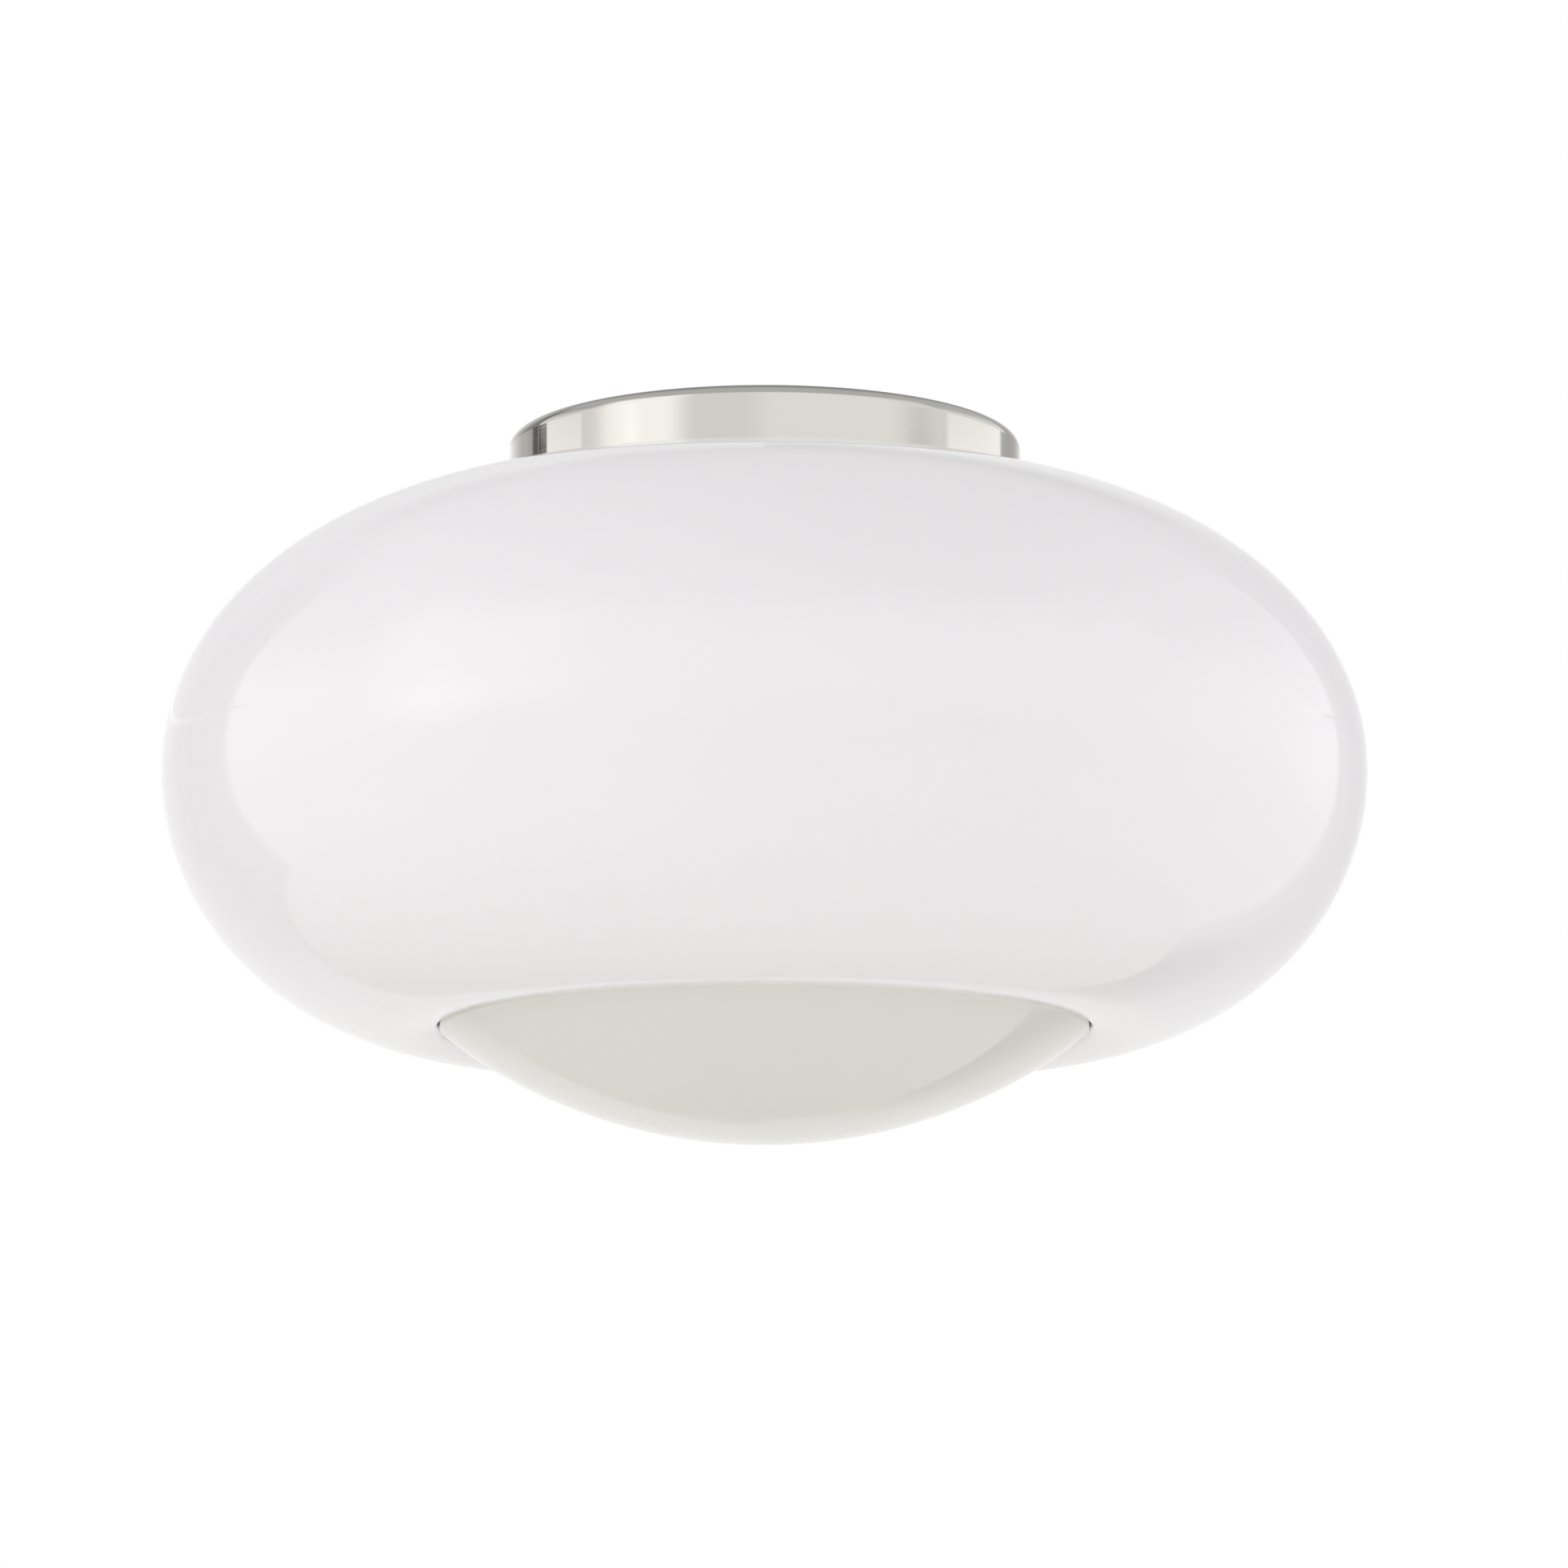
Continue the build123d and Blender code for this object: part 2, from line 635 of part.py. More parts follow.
# Lampholders: porcelain body, brass screw shell and sprung centre contact
for side, sign in sides:
    with BuildPart() as lampholder:
        with BuildSketch(lamp_plane(sign)):
            with BuildLine():
                Polyline(
                    (holder_rear, 0),
                    (holder_rear, holder_diameter / 2),
                    (holder_front, holder_diameter / 2),
                    (holder_front, holder_bore),
                    (holder_floor, holder_bore),
                    (holder_floor, 0),
                    close=True,
                )
            make_face()
        revolve(axis=lamp_axis)
        shoulders = lampholder.edges().filter_by(GeomType.CIRCLE).sort_by(SortBy.RADIUS)[-2:]
        fillet(shoulders, radius=holder_edge_radius)
        with BuildSketch(station_plane(sign, holder_rear)):
            with GridLocations(wire_pair_spacing, 0, 2, 1):
                Circle(wire_radius + wire_clearance)
        extrude(amount=holder_back, mode=Mode.SUBTRACT)
        with BuildSketch(station_plane(sign, holder_rear)):
            with GridLocations(0, holder_screw_spacing, 1, 2):
                Circle(small_screw_diameter / 2 + fixed_fit)
        extrude(amount=holder_screw_bite + fixed_fit, mode=Mode.SUBTRACT)
    lampholder.part.label = f"lampholder_{side}"
    export_step(lampholder.part, f"parts/lampholder_{side}.step")

    with BuildPart() as screw_shell:
        with BuildSketch(lamp_plane(sign)):
            with BuildLine():
                Polyline(
                    (holder_floor, shell_back_opening / 2),
                    (holder_floor, shell_outer),
                    (holder_front - shell_lip_setback, shell_outer),
                    (holder_front - shell_lip_setback, shell_inner),
                    (holder_floor + shell_thickness, shell_inner),
                    (holder_floor + shell_thickness, shell_back_opening / 2),
                    close=True,
                )
            make_face()
        revolve(axis=lamp_axis)
    screw_shell.part.label = f"screw_shell_{side}"
    export_step(screw_shell.part, f"parts/screw_shell_{side}.step")

    contact_line = holder_floor + contact_thickness / 2
    contact_half = shell_back_opening / 2 - contact_thickness
    with BuildPart() as holder_contact:
        with BuildSketch(lamp_plane(sign)):
            with BuildLine():
                FilletPolyline(
                    (contact_line, -contact_half),
                    (contact_line, contact_half * 2 / 3),
                    (contact_line + contact_reach, contact_half / 3),
                    (contact_line + contact_reach, -contact_half / 2),
                    radius=contact_thickness,
                )
            trace(line_width=contact_thickness)
        extrude(amount=contact_width / 2, both=True)
    holder_contact.part.label = f"holder_contact_{side}"
    export_step(holder_contact.part, f"parts/holder_contact_{side}.step")

# Screws that hold the lampholders to the bracket
with BuildPart() as holder_screws:
    for side, sign in sides:
        with BuildSketch(station_plane(sign, bracket_inner)):
            with GridLocations(0, holder_screw_spacing, 1, 2):
                Circle(small_screw_head / 2)
        extrude(amount=-small_screw_head_height)
        with BuildSketch(station_plane(sign, bracket_inner)):
            with GridLocations(0, holder_screw_spacing, 1, 2):
                Circle(small_screw_diameter / 2)
        extrude(amount=bracket_thickness + holder_screw_bite)
holder_screws.part.label = "holder_screws"
export_step(holder_screws.part, "parts/holder_screws.step")

# Wires: from each lampholder in to the middle, up through the bush and across to a pole
for name, row, pole in (("live_wires", -1, -1), ("neutral_wires", 1, 1)):
    with BuildPart() as wires:
        for side, sign in sides:
            across = row * wire_pair_spacing / 2
            middle = sign * wire_side_spacing / 2
            pole_place = pole * pole_pitch
            entry_level = pole_level + sign * wire_pole_spacing / 2
            with BuildLine() as route:
                FilletPolyline(
                    (sign * (holder_rear + wire_entry_depth), across, lamp_level),
                    (middle, across, lamp_level),
                    (middle, across, entry_level),
                    (pole_place, -block_offset + wire_pole_lead, entry_level),
                    (pole_place, -block_offset - pole_length / 3, entry_level),
                    radius=[wire_lower_bend, wire_upper_bend, wire_pole_bend],
                )
            with BuildSketch(Plane(origin=route.line @ 0, z_dir=route.line % 0)):
                Circle(wire_radius)
            sweep()
    wires.part.label = name
    export_step(wires.part, f"parts/{name}.step")

# Screw-in lamps: tip contact, screw cap with its insulator, housing and frosted globe
cap_radius = lamp_cap_diameter / 2
globe_radius = lamp_globe_diameter / 2
for side, sign in sides:
    tip_end = lamp_start + lamp_tip_height
    stem_end = tip_end + lamp_tip_stem_length
    cap_start = lamp_start + lamp_cap_start
    cap_end = lamp_start + lamp_cap_end
    globe_center = lamp_start + lamp_length - globe_radius
    housing_end = globe_center - lamp_globe_setback
    seat_radius = sqrt(globe_radius**2 - lamp_globe_setback**2)
    seat_slope = (seat_radius, lamp_globe_setback)
    board_taper = lamp_board_thickness * lamp_globe_setback / seat_radius
    board_radius = seat_radius - lamp_housing_wall - board_taper - running_gap
    with BuildPart() as bulb_tip:
        with BuildSketch(lamp_plane(sign)):
            with BuildLine():
                Polyline(
                    (lamp_start, 0),
                    (lamp_start, lamp_tip_diameter / 3),
                    (tip_end - lamp_tip_height / 2, lamp_tip_diameter / 2),
                    (tip_end, lamp_tip_diameter / 2),
                    (tip_end, lamp_tip_stem_diameter / 2),
                    (stem_end, lamp_tip_stem_diameter / 2),
                    (stem_end, 0),
                    close=True,
                )
            make_face()
        revolve(axis=lamp_axis)
    bulb_tip.part.label = f"bulb_tip_{side}"
    export_step(bulb_tip.part, f"parts/bulb_tip_{side}.step")

    stem_bore = lamp_tip_stem_diameter / 2 + fixed_fit
    with BuildPart() as bulb_cap:
        with BuildSketch(lamp_plane(sign)):
            with BuildLine():
                Polyline(
                    (tip_end + fixed_fit, stem_bore),
                    (tip_end + fixed_fit, lamp_tip_diameter / 2 + lamp_cap_wall),
                    (cap_start + lamp_cap_start / 2, cap_radius),
                    (cap_end, cap_radius),
                    (cap_end, cap_radius - lamp_cap_wall),
                    (stem_end + lamp_cap_start, cap_radius - lamp_cap_wall),
                    (stem_end + lamp_cap_wall, lamp_tip_diameter / 2),
                    (stem_end + lamp_cap_wall, stem_bore),
                    close=True,
                )
            make_face()
        revolve(axis=lamp_axis)
    bulb_cap.part.label = f"bulb_cap_{side}"
    export_step(bulb_cap.part, f"parts/bulb_cap_{side}.step")

    with BuildPart() as bulb_housing:
        with BuildSketch(lamp_plane(sign)):
            with BuildLine():
                outer_flare = Spline(
                    (cap_end, cap_radius), (housing_end, seat_radius), tangents=[(1, 0), seat_slope]
                )
                inner_flare = Spline(
                    (cap_end, cap_radius - lamp_housing_wall),
                    (housing_end, seat_radius - lamp_housing_wall),
                    tangents=[(1, 0), seat_slope],
                )
                Line(outer_flare @ 0, inner_flare @ 0)
                Line(outer_flare @ 1, inner_flare @ 1)
            make_face()
        revolve(axis=lamp_axis)
    bulb_housing.part.label = f"bulb_housing_{side}"
    export_step(bulb_housing.part, f"parts/bulb_housing_{side}.step")

    with BuildPart() as bulb_board:
        with BuildSketch(station_plane(sign, housing_end)):
            Circle(board_radius)
        extrude(amount=-lamp_board_thickness)
    bulb_board.part.label = f"bulb_board_{side}"
    export_step(bulb_board.part, f"parts/bulb_board_{side}.step")

    with BuildPart() as bulb_globe:
        with BuildSketch(lamp_plane(sign)):
            with Locations((globe_center, 0)):
                Circle(globe_radius)
                Circle(globe_radius - lamp_globe_wall, mode=Mode.SUBTRACT)
            with Locations((housing_end, 0)):
                Rectangle(lamp_length, lamp_length, align=(Align.MIN, Align.MIN), mode=Mode.INTERSECT)
        revolve(axis=lamp_axis)
    bulb_globe.part.label = f"bulb_globe_{side}"
    export_step(bulb_globe.part, f"parts/bulb_globe_{side}.step")

# Tie rods from the support plate down to the carrier, staked above and threaded below
with BuildPart() as tie_rods:
    with BuildSketch(Plane.XY.offset(plate_under)):
        with PolarLocations(rod_circle, rod_count, start_angle=45):
            Circle(rod_diameter / 2)
    extrude(amount=carrier_top - plate_under)
    with BuildSketch(Plane.XY.offset(plate_top)):
        with PolarLocations(rod_circle, rod_count, start_angle=45):
            Circle(rod_end_diameter / 2)
    extrude(amount=carrier_under - nut_height - plate_top)
tie_rods.part.label = "tie_rods"
export_step(tie_rods.part, "parts/tie_rods.step")

with BuildPart() as rod_nuts:
    with BuildSketch(Plane.XY.offset(carrier_under)):
        with PolarLocations(rod_circle, rod_count, start_angle=45):
            RegularPolygon(nut_across_flats / 2, 6, major_radius=False)
            Circle(rod_end_diameter / 2 + fixed_fit, mode=Mode.SUBTRACT)
    extrude(amount=-nut_height)
rod_nuts.part.label = "rod_nuts"
export_step(rod_nuts.part, "parts/rod_nuts.step")

# Carrier ring with an ear for each rod and a rivet hole for each clip
rivet_circle = clip_line - clip_foot / 2
with BuildPart() as carrier_ring:
    with BuildSketch(Plane.XY.offset(carrier_under)):
        Circle(carrier_outer)
        Circle(carrier_inner, mode=Mode.SUBTRACT)
        with PolarLocations(rod_circle, rod_count, start_angle=45):
            Circle(carrier_ear_width / 2)
            with Locations(((carrier_inner + carrier_width / 2 - rod_circle) / 2, 0)):
                Rectangle(carrier_inner + carrier_width / 2 - rod_circle, carrier_ear_width)
            Circle(rod_end_diameter / 2 + fixed_fit, mode=Mode.SUBTRACT)
        with PolarLocations(rivet_circle, clip_count):
            Circle(rivet_diameter / 2 + fixed_fit, mode=Mode.SUBTRACT)
    extrude(amount=carrier_thickness)
carrier_ring.part.label = "carrier_ring"
export_step(carrier_ring.part, "parts/carrier_ring.step")

# Soft seat under the carrier that the dome ring comes up to
with BuildPart() as dome_seat:
    with BuildSketch(Plane.XY.offset(carrier_under)):
        Circle(carrier_outer)
        Circle(carrier_outer - seat_width, mode=Mode.SUBTRACT)
    extrude(amount=-seat_height)
dome_seat.part.label = "dome_seat"
export_step(dome_seat.part, "parts/dome_seat.step")

# Spring clips: strip riveted under the carrier, its nose under the flange of the dome ring
nose_length = hypot(clip_nose, clip_nose_drop)
nose_stand_off = clip_thickness / 2 + running_gap + clip_bend_radius / 10
nose_rise = ((clip_gap + clip_thickness / 2) * clip_nose_drop - nose_stand_off * nose_length) / clip_nose
nose_start = flange_under + nose_rise
nose_level = nose_start - clip_nose_drop
tail_level = nose_level - clip_tail_drop + clip_nose_drop
with BuildPart() as spring_clips:
    for place in range(clip_count):
        with BuildSketch(radial_plane(place * 360 / clip_count)):
            with BuildLine():
                FilletPolyline(
                    (clip_line - clip_foot, carrier_under - clip_thickness / 2),
                    (clip_line, carrier_under - clip_thickness / 2),
                    (clip_line, nose_start),
                    (clip_line + clip_nose, nose_level),
                    (clip_line, tail_level),
                    radius=clip_bend_radius,
                )
            trace(line_width=clip_thickness)
        extrude(amount=clip_width / 2, both=True)
    with BuildSketch(Plane.XY.offset(carrier_under)):
        with PolarLocations(rivet_circle, clip_count):
            Circle(rivet_diameter / 2 + fixed_fit)
    extrude(amount=-clip_thickness, mode=Mode.SUBTRACT)
spring_clips.part.label = "spring_clips"
export_step(spring_clips.part, "parts/spring_clips.step")

# Rivets of the clips
with BuildPart() as clip_rivets:
    with BuildSketch(Plane.XY.offset(carrier_under - clip_thickness)):
        with PolarLocations(rivet_circle, clip_count):
            Circle(rivet_diameter / 2)
    extrude(amount=clip_thickness + carrier_thickness)
    with BuildSketch(Plane.XY.offset(carrier_top)):
        with PolarLocations(rivet_circle, clip_count):
            Circle(rivet_head_diameter / 2)
    extrude(amount=rivet_head_height)
    with BuildSketch(Plane.XY.offset(carrier_under - clip_thickness)):
        with PolarLocations(rivet_circle, clip_count):
            Circle(rivet_head_diameter / 2)
    extrude(amount=-rivet_head_height)
clip_rivets.part.label = "clip_rivets"
export_step(clip_rivets.part, "parts/clip_rivets.step")

# Dome: spherical cap of opal glass with an upright collar
with BuildPart() as dome:
    with BuildSketch(Plane.XZ):
        with BuildLine():
            bowl = RadiusArc((0, dome_bottom), (dome_radius, rim_level), radius=-dome_sphere)
            collar = Polyline(
                bowl @ 1,
                (dome_radius, collar_top),
                (collar_inner, collar_top),
                (collar_inner, dome_inner_edge),
            )
            inside = RadiusArc((0, dome_bottom + dome_wall), collar @ 1, radius=-dome_inner_sphere)
            Line(inside @ 0, bowl @ 0)
        make_face()
    revolve(axis=Axis.Z)
    rounds = dome.edges().filter_by(GeomType.CIRCLE)
    rims = rounds.filter_by(lambda e: abs(e.radius - dome_radius) < fixed_fit)
    fillet(rims.sort_by(Axis.Z)[:1], radius=dome_edge_radius)
    lips = dome.edges().filter_by(GeomType.CIRCLE).group_by(Axis.Z)[-1]
    fillet(lips, radius=dome_wall / 3)
dome.part.label = "dome"
export_step(dome.part, "parts/dome.step")

# Bond that fixes the ring in the collar
with BuildPart() as dome_bond:
    with BuildSketch(Plane.XY.offset(collar_top - dome_wall / 3 - bond_end_inset)):
        Circle(collar_inner)
        Circle(ring_outer, mode=Mode.SUBTRACT)
    extrude(amount=-(ring_depth - dome_wall / 3 - 2 * bond_end_inset))
dome_bond.part.label = "dome_bond"
export_step(dome_bond.part, "parts/dome_bond.step")

# Steel ring bonded into the collar, with the flange that the clips hold
with BuildPart() as dome_ring:
    with BuildSketch(Plane.XZ):
        with BuildLine():
            Polyline(
                (ring_outer, collar_top),
                (ring_outer, collar_top - ring_depth),
                (ring_inner, collar_top - ring_depth),
                (ring_inner, flange_under),
                (flange_inner, flange_under),
                (flange_inner, collar_top),
                close=True,
            )
        make_face()
    revolve(axis=Axis.Z)
dome_ring.part.label = "dome_ring"
export_step(dome_ring.part, "parts/dome_ring.step")
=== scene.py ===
"""Flush ceiling light: looks of its opal glass shade, polished canopy, glass dome and the works inside.

Metres, in the frame of the solids. The origin is the middle of the ceiling face and +Z points up.
"""

import json
from math import acos, asin, atan2, cos, hypot, pi, radians, sin, sqrt

import bpy
import numpy as np
from bpy.props import FloatProperty, FloatVectorProperty, PointerProperty
from bpy.types import Operator, Panel, PropertyGroup
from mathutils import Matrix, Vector


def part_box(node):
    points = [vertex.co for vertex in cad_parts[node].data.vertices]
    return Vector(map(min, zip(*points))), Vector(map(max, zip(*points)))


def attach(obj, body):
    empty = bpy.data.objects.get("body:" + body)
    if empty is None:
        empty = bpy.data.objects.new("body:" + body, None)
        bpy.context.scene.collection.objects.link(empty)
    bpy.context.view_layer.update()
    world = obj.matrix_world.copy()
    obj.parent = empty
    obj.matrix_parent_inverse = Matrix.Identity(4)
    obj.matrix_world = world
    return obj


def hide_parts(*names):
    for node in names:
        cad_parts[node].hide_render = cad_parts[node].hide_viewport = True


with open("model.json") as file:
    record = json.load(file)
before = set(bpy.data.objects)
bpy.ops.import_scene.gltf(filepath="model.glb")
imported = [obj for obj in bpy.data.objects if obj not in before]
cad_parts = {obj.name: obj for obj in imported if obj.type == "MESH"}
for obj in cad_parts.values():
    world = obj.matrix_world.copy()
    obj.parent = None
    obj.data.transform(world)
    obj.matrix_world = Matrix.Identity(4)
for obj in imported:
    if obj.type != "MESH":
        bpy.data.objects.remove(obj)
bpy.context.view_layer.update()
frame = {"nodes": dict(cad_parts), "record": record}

bl_info = {
    "name": "Flush Ceiling Light",
    "version": (1, 0, 0),
    "blender": (4, 5, 0),
    "location": "3D View > Sidebar > Ceiling Light",
    "description": "Glass, metal and studio of a flush ceiling light, built round its solids",
    "category": "Object",
}

SIDES = (("left", -1.0), ("right", 1.0))
STUDS = 3
ROUND_SEGMENTS = 288
LAMP_SEGMENTS = 96
FLOOR_SEGMENTS = 128
FLOOR_RINGS = 25
SHARP_ANGLE = radians(32)
# Metres: points that count as one, radius that counts as the axis, depth of the points that make up the
# end of a screw's shank, and half the width of the middle, where such an end is neither left nor right
SAME_POINT = 1e-7
ON_AXIS = 1e-9
SHANK_END = 1e-5
MIDDLE_REACH = 2.5e-3
WHITE = (1.0, 1.0, 1.0)
BLACK = (0.0, 0.0, 0.0)

# Points along each curve of the outlines
STEPS = {
    "shade_upper": 56, "shade_lower": 48, "shade_lip": 16, "shade_rim": 13, "fire_polish": 6,
    "dome": 64, "dome_edge": 12, "dome_collar": 7, "dome_inside": 48,
    "canopy_edge": 22, "canopy_foot": 9, "canopy_inside": 12,
    "cap": 140, "housing": 40, "globe": 56, "globe_inside": 40,
}
# Thread of a lamp cap: slope of its growth and fade along the cap, its bare start and end in the same
# measure, and how far outside the insulator the threaded wall begins
THREAD_SLOPE = 9.0
THREAD_BARE_START = 0.6
THREAD_BARE_END = 0.9
THREAD_MARGIN = 0.001


def number(name, description, default, **options):
    """A number property."""
    return FloatProperty(name=name, description=description, default=default, precision=5, **options)


def length(name, description, default):
    """A distance property in metres."""
    return number(name, description, default, min=0.0, unit="LENGTH")


def position(name, description, default):
    """A position along an axis in metres, of either sign."""
    return number(name, description, default, unit="LENGTH")


def turn(name, description, degrees):
    """An angle property, given in degrees."""
    return number(name, description, radians(degrees), subtype="ANGLE")


def colour(name, description, default):
    """A linear colour property."""
    return FloatVectorProperty(
        name=name, description=description, default=default, subtype="COLOR", size=3, min=0.0, max=1.0
    )


class GlassSizes(PropertyGroup):
    """Sizes of the shade and the dome."""

    shade_diameter: length("Shade diameter", "Width of the shade at its equator", 0.3556)
    shade_wall: length("Shade wall", "Thickness of the shade's glass", 0.0035)
    upper_rise: length("Upper rise", "Height of the shade above its equator", 0.0828)
    lower_drop: length("Lower drop", "Short half axis of the shade below its equator", 0.0804)
    crown_flat: length("Crown flat", "Radius of the flat crown under the canopy", 0.072)
    crown_hole: length("Crown hole", "Diameter of the hole in the crown", 0.1143)
    crown_level: position("Crown level", "Height of the top of the crown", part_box("shade")[1].z)
    fire_polish: length("Fire polish", "Rounding of the cut edges of the glass", 0.0008)
    mouth_diameter: length("Mouth diameter", "Width of the shade's mouth", 0.192)
    lip_radius: length("Lip radius", "Radius of the lip that curls in at the mouth", 0.037)
    lip_reach: length("Lip reach", "Width of the lip from the mouth outward", 0.0228)
    lower_inset: length("Lower inset", "How far the lower curve's centre stands inside the mouth", 0.0048)
    dome_gap: length("Dome gap", "Gap between the mouth and the dome", 0.0006)
    dome_wall: length("Dome wall", "Thickness of the dome's glass", 0.003)
    dome_depth: length("Dome depth", "How far the dome hangs below the lip", 0.0324)
    dome_edge: length("Dome edge", "Rounding between the dome's bowl and its collar", 0.0012)
    dome_bottom: position("Dome bottom", "Height of the lowest point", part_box("dome")[0].z)
    collar_top: position("Collar top", "Height of the top of the dome's collar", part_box("dome")[1].z)


class CanopySizes(PropertyGroup):
    """Sizes of the canopy on the ceiling."""

    diameter: length("Canopy diameter", "Width of the canopy", 0.1524)
    depth: length("Canopy depth", "Height of the canopy", -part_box("canopy")[0].z)
    wall: length("Canopy wall", "Thickness of the drawn sheet", 0.0012)
    edge_radius: length("Edge radius", "Rounding at the ceiling", 0.0038)
    foot_width: length("Foot width", "Width of the turned-in foot", 0.006)
    foot_radius: length("Foot radius", "Rounding at the foot", 0.0008)
    entry_radius: length("Entry radius", "Radius of the cable entry", 0.00945)
    slot_spacing: length("Slot spacing", "Distance between the box screw slots", 0.0794)
    slot_length: length("Slot length", "Length of a box screw slot", 0.024)
    slot_width: length("Slot width", "Width of a box screw slot", 0.005)
    stud_circle: length("Stud circle", "Radius of the circle of the shade studs", 0.044)
    stud_hole: length("Stud hole", "Radius of a stud hole", 0.00255)
    screw_gap: length("Screw gap", "Gap between a screw's shank and its hole", 0.00005)


class LampSizes(PropertyGroup):
    """Sizes of the screw-in lamps."""

    cap_radius: length("Cap radius", "Outer radius of the screw cap", 0.013)
    cap_wall: length("Cap wall", "Thickness of the cap's sheet", 0.0006)
    thread_pitch: length("Thread pitch", "Advance of the cap's thread in one turn", 0.003629)
    thread_depth: length("Thread depth", "Depth of the rolled thread", 0.0009)
    insulator_radius: length("Insulator radius", "Radius of the glass round the tip contact", 0.0051)
    insulator_depth: length("Insulator depth", "Thickness of that glass", 0.004)
    tip_hole: length("Tip hole", "Radius of the hole for the tip contact", 0.00205)
    shoulder: length("Shoulder", "Length of the glass cone at the tip", 0.0035)
    globe_radius: length("Globe radius", "Outer radius of the frosted globe", 0.030)
    globe_wall: length("Globe wall", "Thickness of the globe", 0.0012)
    globe_setback: length("Globe setback", "How far the globe's centre lies past the housing", 0.016)
    housing_wall: length("Housing wall", "Thickness of the housing", 0.002)
    groove_depth: length("Groove depth", "Depth of the groove near the cap", 0.0005)
    groove_place: number("Groove place", "Where the groove lies, as a share of the housing", 0.05)
    groove_width: number("Groove width", "Half width of the groove, as a share of the housing", 0.018)


class FinishColours(PropertyGroup):
    """Colours of the finishes."""

    opal: colour("Opal glass", "White of the shade's glass", (0.84, 0.82, 0.83))
    dome: colour("Dome glass", "Greyer white of the dome's glass", (0.72, 0.71, 0.66))
    nickel: colour("Polished nickel", "Plate of the canopy", (0.63, 0.61, 0.575))
    enamel: colour("White enamel", "Baked coat of the plate, bracket and carrier", (0.82, 0.82, 0.80))
    porcelain: colour("Porcelain", "Glazed body of the lampholders", (0.84, 0.82, 0.77))
    zinc: colour("Zinc", "Plate of the fixings", (0.60, 0.61, 0.62))
    brass: colour("Brass", "Poles and screws of the terminals", (0.70, 0.50, 0.22))
    steel: colour("Spring steel", "Strip of the clips", (0.42, 0.43, 0.45))
    rubber: colour("Black rubber", "Bushes", (0.022, 0.022, 0.023))
    silicone: colour("Clear silicone", "Gaskets, pads and seat", (0.74, 0.74, 0.71))
    nylon: colour("White nylon", "Body of the terminal block", (0.80, 0.79, 0.74))
    lamp_body: colour("Lamp housing", "Plastic housing of a lamp", (0.83, 0.83, 0.82))
    globe: colour("Frosted globe", "Diffuser of a lamp", (0.87, 0.87, 0.85))


class StageSizes(PropertyGroup):
    """Camera, light and floor."""

    camera_distance: length("Camera distance", "From the camera to the middle of the shade", 2.0994)
    camera_drop: turn("Camera drop", "Angle of the camera below the shade's equator", 10.17)
    lens: number("Lens", "Focal length in millimetres", 163.0)
    sensor: number("Sensor", "Width of the picture in the camera in millimetres", 36.0)
    shift_x: number("Shift across", "Sideways shift of the picture", 0.0125)
    shift_y: number("Shift up", "Upward shift of the picture", -0.0052)
    floor_drop: position("Floor level", "Height of the floor under the ceiling", -3.4)
    floor_radius: length("Floor radius", "Radius of the floor", 5.25)
    floor_x: position("Floor across", "Sideways place of the floor's middle", -1.45)
    floor_y: position("Floor back", "Place of the floor's middle towards the back", 0.85)
    ambient: number("Ambient", "Even light from all round", 0.92)
    left_round: turn("Left light", "How far round from the camera the left light stands", -75.0)
    right_round: turn("Right light", "How far round from the camera the right light stands", 105.0)
    side_rise: turn("Side rise", "How far above the equator the side lights stand", 6.0)
    fill_rise: turn("Fill rise", "How far above the equator the fill light stands", -42.0)
    side_power: number("Side light", "Power of each soft side light in watts", 6.0)
    fill_power: number("Fill light", "Power of the soft light in front and below in watts", 5.3)
    light_distance: length("Light distance", "From the soft lights to the middle of the shade", 1.8)
    light_width: length("Light width", "Width of a soft light", 1.4)
    light_height: length("Light height", "Height of a soft light", 1.2)
    side_tint: colour("Side tint", "Colour of the side lights", (1.0, 0.92, 1.0))


class CeilingLightSettings(PropertyGroup):
    """All sizes and colours of the light."""

    glass: PointerProperty(type=GlassSizes)
    canopy: PointerProperty(type=CanopySizes)
    lamp: PointerProperty(type=LampSizes)
    colours: PointerProperty(type=FinishColours)
    stage: PointerProperty(type=StageSizes)


def settings():
    """The sizes and colours of this scene."""
    return bpy.context.scene.ceiling_light


# Outlines, as arrays of (radius, height)


def ellipse_arc(center, spans, start, stop, count):
    """Ellipse: the centre plus the spans times the cosine and sine of evenly stepped angles."""
    angles = np.linspace(start, stop, count)
    return np.column_stack((center[0] + spans[0] * np.cos(angles), center[1] + spans[1] * np.sin(angles)))


def circle_arc(center, radius, start, stop, count):
    """Circle: an ellipse with two equal spans."""
    return ellipse_arc(center, (radius, radius), start, stop, count)


def tangent_arc(start, heading, end, count):
    """Arc that leaves start along heading and reaches end.

    Its centre lies square to the heading, as far away as makes start and end equally distant,
    and the spoke from there to start is turned in equal steps to the spoke to end.
    """
    start, heading, end = (np.asarray(value, float) for value in (start, heading, end))
    across = np.array((-heading[1], heading[0])) / np.hypot(*heading)
    chord = end - start
    center = start + across * (chord @ chord) / (2 * chord @ across)
    spoke = complex(*(start - center))
    sweep = np.angle(complex(*(end - center)) / spoke)
    painted_edge_reflection = spoke * np.exp(1j * sweep * np.linspace(0, 1, count))
    return center + np.column_stack((painted_edge_reflection.real, painted_edge_reflection.imag))


def straight(start, end, guard=0.0003):
    """Line with a guard point near each end, so that smooth shading stays flat between them."""
    start, end = np.asarray(start, float), np.asarray(end, float)
    share = min(guard / np.hypot(*(end - start)), 0.25)
    steps = np.array((0.0, share, 0.5, 1 - share, 1.0))[:, None]
    return start + (end - start) * steps


